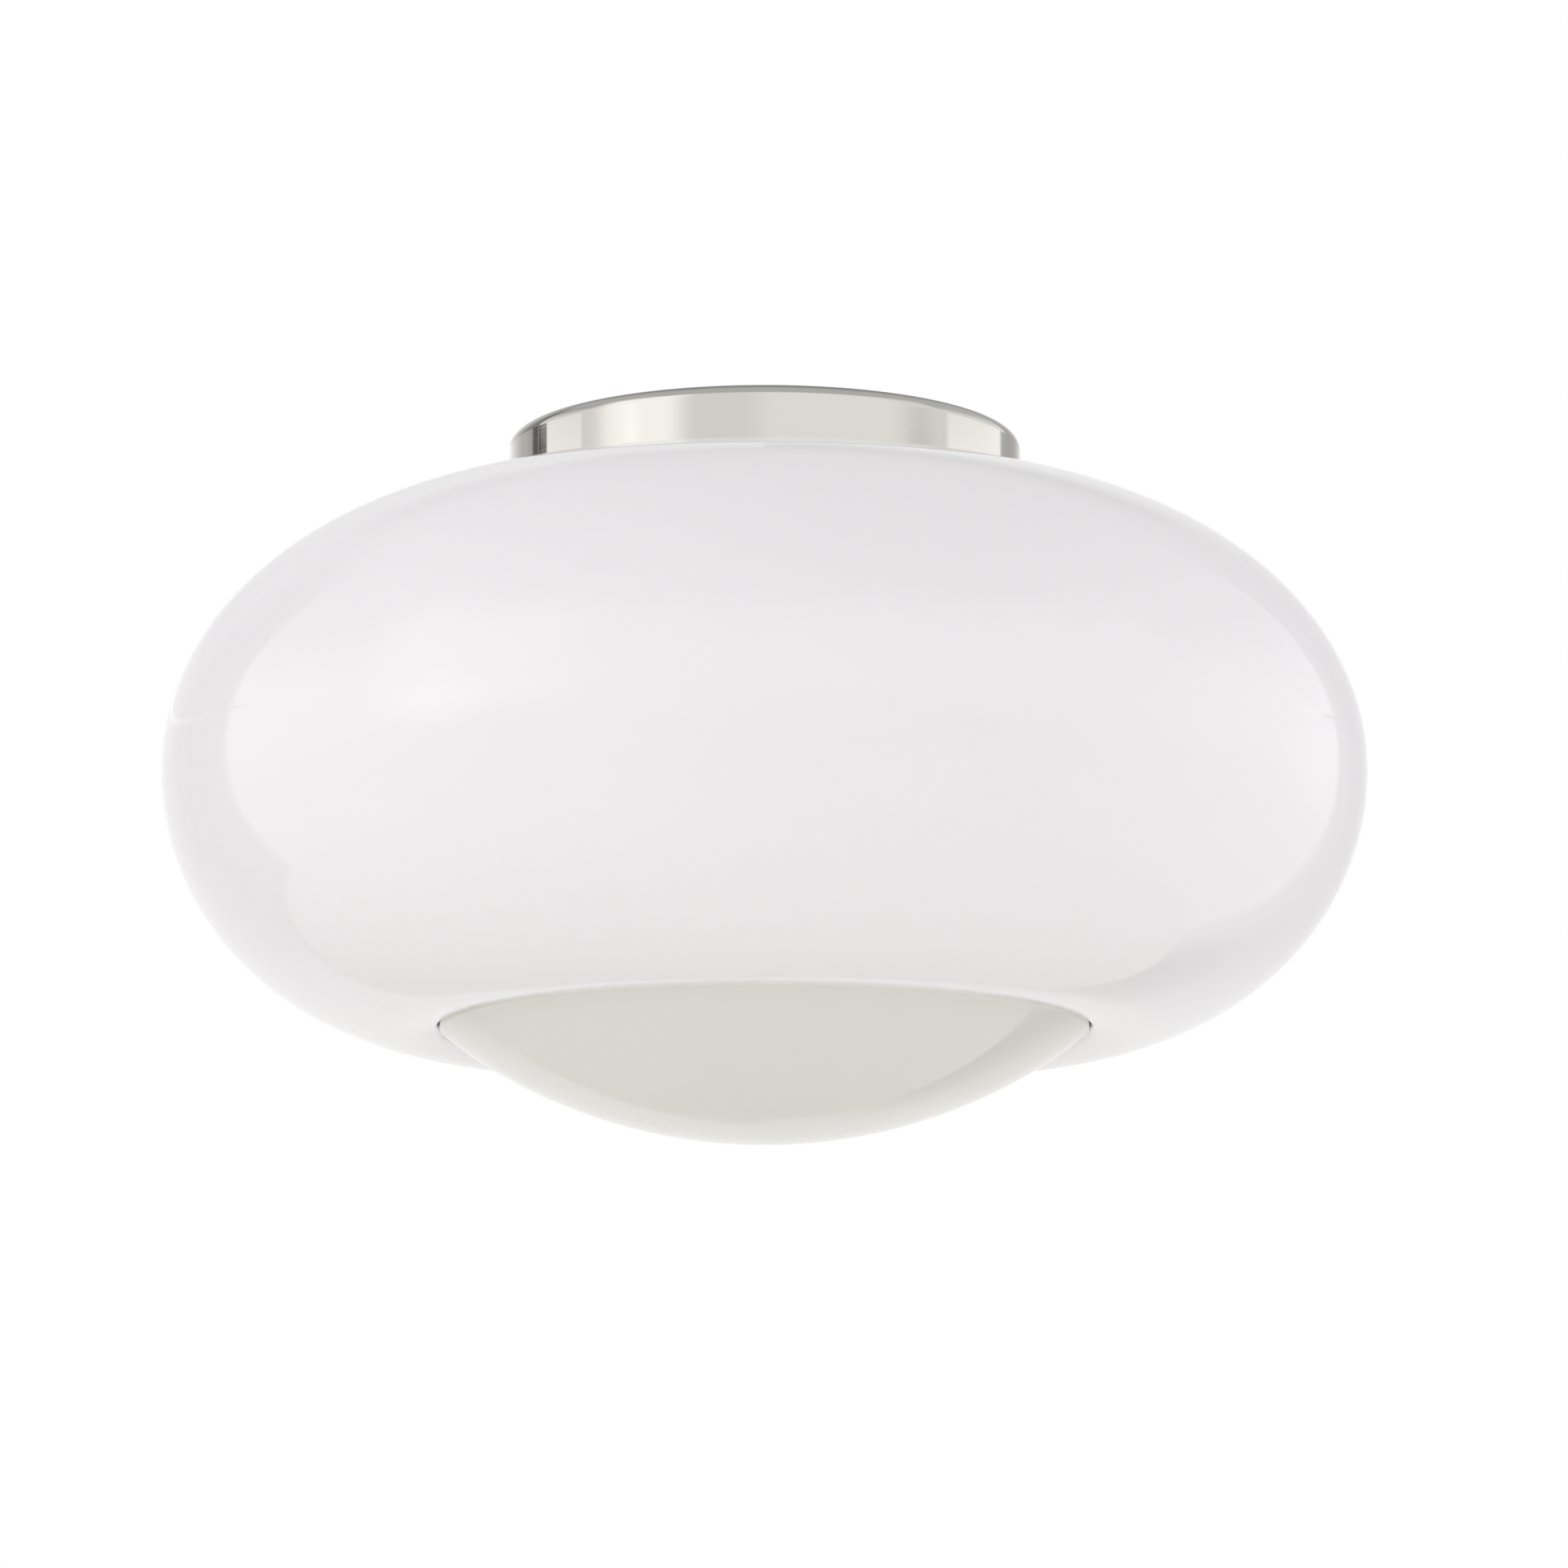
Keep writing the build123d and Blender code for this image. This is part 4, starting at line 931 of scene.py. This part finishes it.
def dress(*nodes):
    """Gives solids that stay in view the finish of their own slot."""
    for name in nodes:
        node = frame["nodes"][name]
        slot = next(part["material_slot"] for part in frame["record"]["subparts"] if part["node"] == name)
        node.data.materials[0] = finish_for(slot)


def lamp_height():
    """Height of the lamps' axis."""
    low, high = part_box("bulb_cap_right")
    return (low.z + high.z) / 2


# Pieces


class CEILINGLIGHT_OT_shade(Operator):
    """Build the opal glass shade"""

    bl_idname = "ceiling_light.shade"
    bl_label = "Shade"

    def execute(self, context):
        surface = spun(shade_outline(settings().glass), ROUND_SEGMENTS, True)
        new_piece("glass_shade", surface, "fixture", "opal_glass", ["shade"])
        return {"FINISHED"}


class CEILINGLIGHT_OT_dome(Operator):
    """Build the glass dome, and finish the ring that is bonded into it"""

    bl_idname = "ceiling_light.dome"
    bl_label = "Dome"

    def execute(self, context):
        surface = spun(dome_outline(settings().glass), ROUND_SEGMENTS, False)
        new_piece("glass_dome", surface, "dome", "dome_glass", ["dome"])
        dress("dome_ring", "dome_bond")
        return {"FINISHED"}


class CEILINGLIGHT_OT_canopy(Operator):
    """Build the polished canopy with its cut slots and holes"""

    bl_idname = "ceiling_light.canopy"
    bl_label = "Canopy"

    def execute(self, context):
        size = settings().canopy
        surface = spun(canopy_outline(size), ROUND_SEGMENTS, True)
        canopy = new_piece("nickel_canopy", surface, "fixture", "polished_nickel", ["canopy"])
        slots = [
            slot_loop((side * size.slot_spacing / 2, 0.0), size.slot_length, size.slot_width)
            for _, side in SIDES
        ]
        angles = [pi / 2 + step * 2 * pi / STUDS for step in range(STUDS)]
        studs = [(size.stud_circle * cos(angle), size.stud_circle * sin(angle)) for angle in angles]
        holes = [circle_loop(spot, size.stud_hole) for spot in studs]
        for screws in ("block_screws", "earth_screw"):
            holes += screw_holes(screws, size.screw_gap)
        carve(canopy, slots + holes, -2 * size.wall, size.wall)
        dress("canopy_gasket", "wire_bush", "shade_studs")
        return {"FINISHED"}


class CEILINGLIGHT_OT_lamps(Operator):
    """Build both screw-in lamps: threaded cap, flared housing, chip board and frosted globe"""

    bl_idname = "ceiling_light.lamps"
    bl_label = "Lamps"

    def execute(self, context):
        size = settings().lamp
        for side, sign in SIDES:
            self.cap(size, side, sign)
            self.housing(size, side, sign)
            self.globe(size, side, sign)
            dress(f"bulb_tip_{side}", f"bulb_board_{side}")
        return {"FINISHED"}

    def put(self, kind, outline, side, sign, slot, closed=True, swell=None):
        """Turns an outline of (radius, station) into a piece along this side's lamp."""
        points, quads, fans = spun(outline, LAMP_SEGMENTS, closed, swell)
        surface = (lamp_place(points, sign, lamp_height()), quads, fans)
        new_piece(f"lamp_{kind}_{side}", surface, f"bulb_{side}", slot, [f"bulb_{kind}_{side}"])

    def cap(self, size, side, sign):
        """Screw cap: its wall sinks in along a helix, one pitch for each turn, which fades at both ends."""
        low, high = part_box("bulb_cap_right")
        start, end = low.x, high.x
        shoulder = start + size.shoulder
        floor = start + size.insulator_depth
        stations = np.linspace(shoulder, end, STEPS["cap"])
        outer = np.full(STEPS["cap"], size.cap_radius)
        outline = joined(
            np.array(((size.tip_hole, start), (size.insulator_radius, start))),
            np.column_stack((outer, stations)),
            np.column_stack((outer - size.cap_wall, stations[::-1])),
            np.array(((size.insulator_radius - size.cap_wall, floor), (size.tip_hole, floor))),
        )

        def thread(rings, angles):
            """Change of radius: minus the depth times a raised cosine of the height's turn less the angle."""
            run = (rings[:, 1:] - shoulder) / (end - shoulder)
            growth = np.clip(run * THREAD_SLOPE - THREAD_BARE_START, 0, 1)
            fade = growth * np.clip((1 - run) * THREAD_SLOPE - THREAD_BARE_END, 0, 1)
            wall = (rings[:, :1] > size.insulator_radius + THREAD_MARGIN) * 1.0
            wave = 0.5 + 0.5 * np.cos(2 * pi * rings[:, 1:] / size.thread_pitch - angles)
            return -size.thread_depth * wave * fade * wall

        self.put("cap", outline, side, sign, "nickel_cap", swell=thread)

    def housing(self, size, side, sign):
        """Flared housing: a cubic from the cap's radius to the globe's seat, less a bell-shaped groove.

        The cubic leaves the cap level and meets the globe with the globe's own slope.
        """
        low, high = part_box("bulb_housing_right")
        seat = sqrt(size.globe_radius**2 - size.globe_setback**2)
        run = np.linspace(0, 1, STEPS["housing"])
        long = high.x - low.x
        slope = long * size.globe_setback / seat
        ease = 3 * run**2 - 2 * run**3
        rise = size.cap_radius + (seat - size.cap_radius) * ease + slope * (run**3 - run**2)
        groove = size.groove_depth * np.exp(-(((run - size.groove_place) / size.groove_width) ** 2))
        stations = low.x + long * run
        outline = joined(
            np.column_stack((rise - groove, stations)),
            np.column_stack((rise - size.housing_wall, stations))[::-1],
        )
        self.put("housing", outline, side, sign, "lamp_plastic")

    def globe(self, size, side, sign):
        """Frosted globe: two spheres one wall apart, cut off at the housing."""
        center = (0.0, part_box("bulb_globe_right")[1].x - size.globe_radius)
        inner = size.globe_radius - size.globe_wall
        start = -asin(size.globe_setback / size.globe_radius)
        inner_start = -asin(size.globe_setback / inner)
        outline = joined(
            circle_arc(center, inner, pi / 2, inner_start, STEPS["globe_inside"]),
            circle_arc(center, size.globe_radius, start, pi / 2, STEPS["globe"]),
        )
        self.put("globe", outline, side, sign, "frosted_globe", closed=False)


class CEILINGLIGHT_OT_lampholders(Operator):
    """Finish the porcelain lampholders with their screw shells and contacts"""

    bl_idname = "ceiling_light.lampholders"
    bl_label = "Lampholders"

    def execute(self, context):
        for side, _ in SIDES:
            dress(f"lampholder_{side}", f"screw_shell_{side}", f"holder_contact_{side}")
        dress("holder_screws")
        return {"FINISHED"}


class CEILINGLIGHT_OT_works(Operator):
    """Finish the plate, bracket, fixings and pads that carry the shade and the lamps"""

    bl_idname = "ceiling_light.works"
    bl_label = "Plate and Bracket"

    def execute(self, context):
        dress("shade_pad", "support_plate", "stud_washers", "thumb_nuts", "lamp_bracket")
        dress("plate_bush", "bracket_screws", "bracket_nuts")
        return {"FINISHED"}


class CEILINGLIGHT_OT_wiring(Operator):
    """Finish the terminal block, the earth link and the wires"""

    bl_idname = "ceiling_light.wiring"
    bl_label = "Wiring"

    def execute(self, context):
        dress("terminal_block", "terminal_poles", "terminal_screws", "block_screws")
        dress("earth_link", "earth_screw", "live_wires", "neutral_wires")
        return {"FINISHED"}


class CEILINGLIGHT_OT_carrier(Operator):
    """Finish the rods, the carrier ring and the spring clips that hold the dome"""

    bl_idname = "ceiling_light.carrier"
    bl_label = "Dome Carrier"

    def execute(self, context):
        dress("tie_rods", "rod_nuts", "carrier_ring", "dome_seat", "spring_clips", "clip_rivets")
        return {"FINISHED"}


# Stage

# Degrees past any direction, for panels that have no end, and just past straight up or straight down
NO_END = 250.0
OVERHEAD = 95.0
# Spans of height in degrees with their softness: a soft box, a wall below the boxes, and the narrow slit that
# only the upright wall of the canopy reflects to the camera
BOX = (-2.3, OVERHEAD, 4.6)
BELOW = (-OVERHEAD, -4.4, 10.0)
SLIT = (12.5, 13.1, 0.1)
# Studio as seen in gloss: degrees round from the camera with their softness, degrees up with theirs, and
# the light that is added there to an even level of 1
STUDIO = (
    ("left rear wall", -NO_END, -121.5, 2.0, -36.0, OVERHEAD, 4.0, -0.72),
    ("left rear glow", -NO_END, -148.0, 24.0, -36.0, 42.0, 8.0, 0.70),
    ("left rear top", -NO_END, -155.0, 8.0, 17.0, NO_END, 5.0, -0.16),
    ("left box top", -121.5, -85.0, 5.0, 24.0, NO_END, 10.0, -0.42),
    ("left key box", -78.0, -38.0, 8.0, *BOX, 0.42),
    ("front wall", -2.0, 64.0, 8.0, *BOX, 0.12),
    ("right key box", 90.0, 139.0, 2.0, *BOX, 0.05),
    ("right box top", 85.0, 139.0, 5.0, 24.0, NO_END, 10.0, -0.38),
    ("right rear wall", 139.0, NO_END, 2.0, -40.0, OVERHEAD, 5.0, -0.46),
    ("right rear glow", 162.0, NO_END, 14.0, -40.0, 33.0, 6.0, 0.42),
    ("right rear top", 160.0, NO_END, 6.0, 17.0, NO_END, 5.0, -0.08),
    ("left rear strip", -NO_END, -128.0, 1.0, *SLIT, 0.16),
    ("left corner strip", -138.0, -128.0, 2.0, *SLIT, 0.10),
    ("left flag edge", -128.0, -121.5, 1.0, *SLIT, -0.14),
    ("left flag", -121.5, -114.9, 0.8, *SLIT, -1.18),
    ("left fill strip", -121.5, -90.0, 0.8, *SLIT, 0.33),
    ("right stand", 68.0, 80.0, 6.0, *SLIT, -0.16),
    ("right key strip", 90.0, 133.0, 2.0, *SLIT, 0.33),
    ("right corner strip", 133.0, 139.0, 2.0, *SLIT, -0.50),
    ("left low wall", -122.0, -95.0, 6.0, *BELOW, -0.20),
    ("left low rear", -NO_END, -122.0, 6.0, -OVERHEAD, -38.0, 5.0, -0.20),
    ("front low wall", -95.0, 95.0, 15.0, *BELOW, -0.28),
    ("right low wall", 95.0, 137.0, 6.0, *BELOW, -0.20),
    ("right low edge", 148.0, 172.0, 6.0, -OVERHEAD, -25.0, 9.0, -0.45),
    ("left rear skirting", -190.0, -140.0, 6.0, -30.0, -25.0, 1.0, -0.22),
)
# Bulbs behind the soft boxes: degrees round and above, radius in degrees, added light
HOT_SPOTS = ((-62.0, 3.0, 12.0, 0.5), (125.0, 2.0, 12.0, 0.12))
# Ceiling of the studio: its light, and how steep a ray is, as a sine, where it starts and where it is full
CEILING_LIGHT = 0.64
CEILING_START = 0.55
CEILING_FULL = 0.75


def direction(azimuth, rise):
    """Unit vector this far round from the camera's side and this far above the level."""
    return Vector((sin(azimuth) * cos(rise), -cos(azimuth) * cos(rise), sin(rise)))


def stand(name, data, toward, distance, height):
    """Object in this direction and at this distance from the axis at this height, facing it."""
    thing = bpy.data.objects.new(name, data)
    thing.location = toward * distance + Vector((0.0, 0.0, height))
    thing.rotation_euler = (-toward).to_track_quat("-Z", "Y").to_euler()
    bpy.context.scene.collection.objects.link(thing)
    return thing


class CEILINGLIGHT_OT_stage(Operator):
    """Build the floor, the lights, the studio surround and the camera"""

    bl_idname = "ceiling_light.stage"
    bl_label = "Stage"

    def execute(self, context):
        stage = settings().stage
        middle = ShadeCurve(settings().glass).equator
        context.scene.view_settings.view_transform = "Standard"
        self.surround(context.scene, stage)
        self.floor(stage)
        for name, azimuth, rise, power, tint in (
            ("left_soft_light", stage.left_round, stage.side_rise, stage.side_power, stage.side_tint),
            ("right_soft_light", stage.right_round, stage.side_rise, stage.side_power, stage.side_tint),
            ("front_fill_light", 0.0, stage.fill_rise, stage.fill_power, WHITE),
        ):
            self.soft_light(name, stage, azimuth, rise, middle, power, tint)
        self.camera(context.scene, stage, middle)
        return {"FINISHED"}

    def surround(self, scene, stage):
        """World: white to the camera, studio panels in gloss and glass, an even level for soft light."""
        scene.world = bpy.data.worlds.new("studio")
        finish = Finish(scene.world)
        ray = finish.out("ShaderNodeTexCoord", {}, {}, "Generated")
        across, along, up = finish.parts(ray)
        azimuth = across.math("ARCTAN2", across, -1.0 * along)
        rise = up.math("ARCSINE", up, 0.0)
        walls = 1.0
        for _, start, stop, soft, low, high, blend, gain in STUDIO:
            across_it = self.window(finish, azimuth, start, stop, soft)
            walls = walls + across_it * self.window(finish, rise, low, high, blend) * gain
        for *angles, gain in HOT_SPOTS:
            walls = walls + gain * self.glow(finish, ray, *np.radians(angles))
        high = finish.ramp(up, CEILING_START, CEILING_FULL)
        gloss = walls * (1.0 - high) + CEILING_LIGHT * high
        path = finish.add("ShaderNodeLightPath", {}, {})
        camera, glossy, through = (
            Link(finish, path.outputs[name])
            for name in ("Is Camera Ray", "Is Glossy Ray", "Is Transmission Ray")
        )
        seen = glossy.math("MAXIMUM", glossy, through)
        soft = stage.ambient * (1.0 - camera) * (1.0 - seen)
        light = camera + (1.0 - camera) * seen * gloss + soft
        shader = finish.out("ShaderNodeBackground", {}, {"Color": opaque(WHITE), "Strength": light})
        finish.add("ShaderNodeOutputWorld", {}, {"Surface": shader})

    def window(self, finish, angle, start, stop, soft):
        """1 between two angles in degrees and 0 outside them, with soft edges."""
        rise = finish.ramp(angle, radians(start - soft), radians(start + soft))
        return rise - finish.ramp(angle, radians(stop - soft), radians(stop + soft))

    def glow(self, finish, ray, azimuth, rise, radius):
        """Soft round spot: 1 where the ray points at it, fading to 0 at its radius."""
        inputs = {0: ray, 1: direction(azimuth, rise)}
        aligned = finish.out("ShaderNodeVectorMath", {"operation": "DOT_PRODUCT"}, inputs, "Value")
        return finish.ramp(aligned, cos(radius), 1.0)

    def floor(self, stage):
        """Round floor: rings of points at even steps of radius, closed by a fan in the middle."""
        rings = np.linspace(0, stage.floor_radius, FLOOR_RINGS)
        outline = np.column_stack((rings, np.full(FLOOR_RINGS, stage.floor_drop)))
        points, quads, fans = spun(outline, FLOOR_SEGMENTS, False)
        points = points + np.array((stage.floor_x, stage.floor_y, 0.0))
        mesh = bpy.data.meshes.new("studio_floor")
        mesh.from_pydata(points.tolist(), [], quads.tolist() + fans.tolist())
        finish = start_finish("pale_floor")
        grain = finish.noise(25.0, detail=4.0)
        mesh.materials.append(finish.surface({
            "Base Color": finish.mix(grain, (0.76, 0.76, 0.73), (0.80, 0.80, 0.77)),
            "Roughness": 0.7 + grain * 0.1,
        }))
        floor = bpy.data.objects.new("studio_floor", mesh)
        bpy.context.scene.collection.objects.link(floor)

    def soft_light(self, name, stage, azimuth, rise, height, power, tint):
        """Soft light at this angle round and above the shade, facing it."""
        lamp = bpy.data.lights.new(name, "AREA")
        lamp.shape = "RECTANGLE"
        lamp.size, lamp.size_y = stage.light_width, stage.light_height
        lamp.energy = power
        lamp.color = tint
        light = stand(name, lamp, direction(azimuth, rise), stage.light_distance, height)
        light.visible_glossy = False
        light.visible_camera = False

    def camera(self, scene, stage, height):
        """Camera below the shade's equator, looking up at the middle of the shade."""
        camera = bpy.data.cameras.new("photo_camera")
        camera.lens = stage.lens
        camera.sensor_width = stage.sensor
        camera.shift_x, camera.shift_y = stage.shift_x, stage.shift_y
        toward = direction(0.0, -stage.camera_drop)
        scene.camera = stand("photo_camera", camera, toward, stage.camera_distance, height)


PIECES = (
    CEILINGLIGHT_OT_canopy,
    CEILINGLIGHT_OT_shade,
    CEILINGLIGHT_OT_dome,
    CEILINGLIGHT_OT_lamps,
    CEILINGLIGHT_OT_lampholders,
    CEILINGLIGHT_OT_works,
    CEILINGLIGHT_OT_wiring,
    CEILINGLIGHT_OT_carrier,
    CEILINGLIGHT_OT_stage,
)


class CEILINGLIGHT_PT_panel(Panel):
    """Lists the pieces of the ceiling light"""

    bl_label = "Ceiling Light"
    bl_idname = "CEILINGLIGHT_PT_panel"
    bl_space_type = "VIEW_3D"
    bl_region_type = "UI"
    bl_category = "Ceiling Light"

    def draw(self, context):
        for piece in PIECES:
            self.layout.operator(piece.bl_idname)


GROUPS = (GlassSizes, CanopySizes, LampSizes, FinishColours, StageSizes, CeilingLightSettings)


def register():
    for kind in (*GROUPS, *PIECES, CEILINGLIGHT_PT_panel):
        bpy.utils.register_class(kind)
    bpy.types.Scene.ceiling_light = PointerProperty(type=CeilingLightSettings)


def unregister():
    del bpy.types.Scene.ceiling_light
    for kind in (CEILINGLIGHT_PT_panel, *PIECES[::-1], *GROUPS[::-1]):
        bpy.utils.unregister_class(kind)


def main():
    """Registers the classes, then builds every piece in order."""
    register()
    for piece in PIECES:
        group, name = piece.bl_idname.split(".")
        getattr(getattr(bpy.ops, group), name)()


if __name__ == "__main__":
    main()
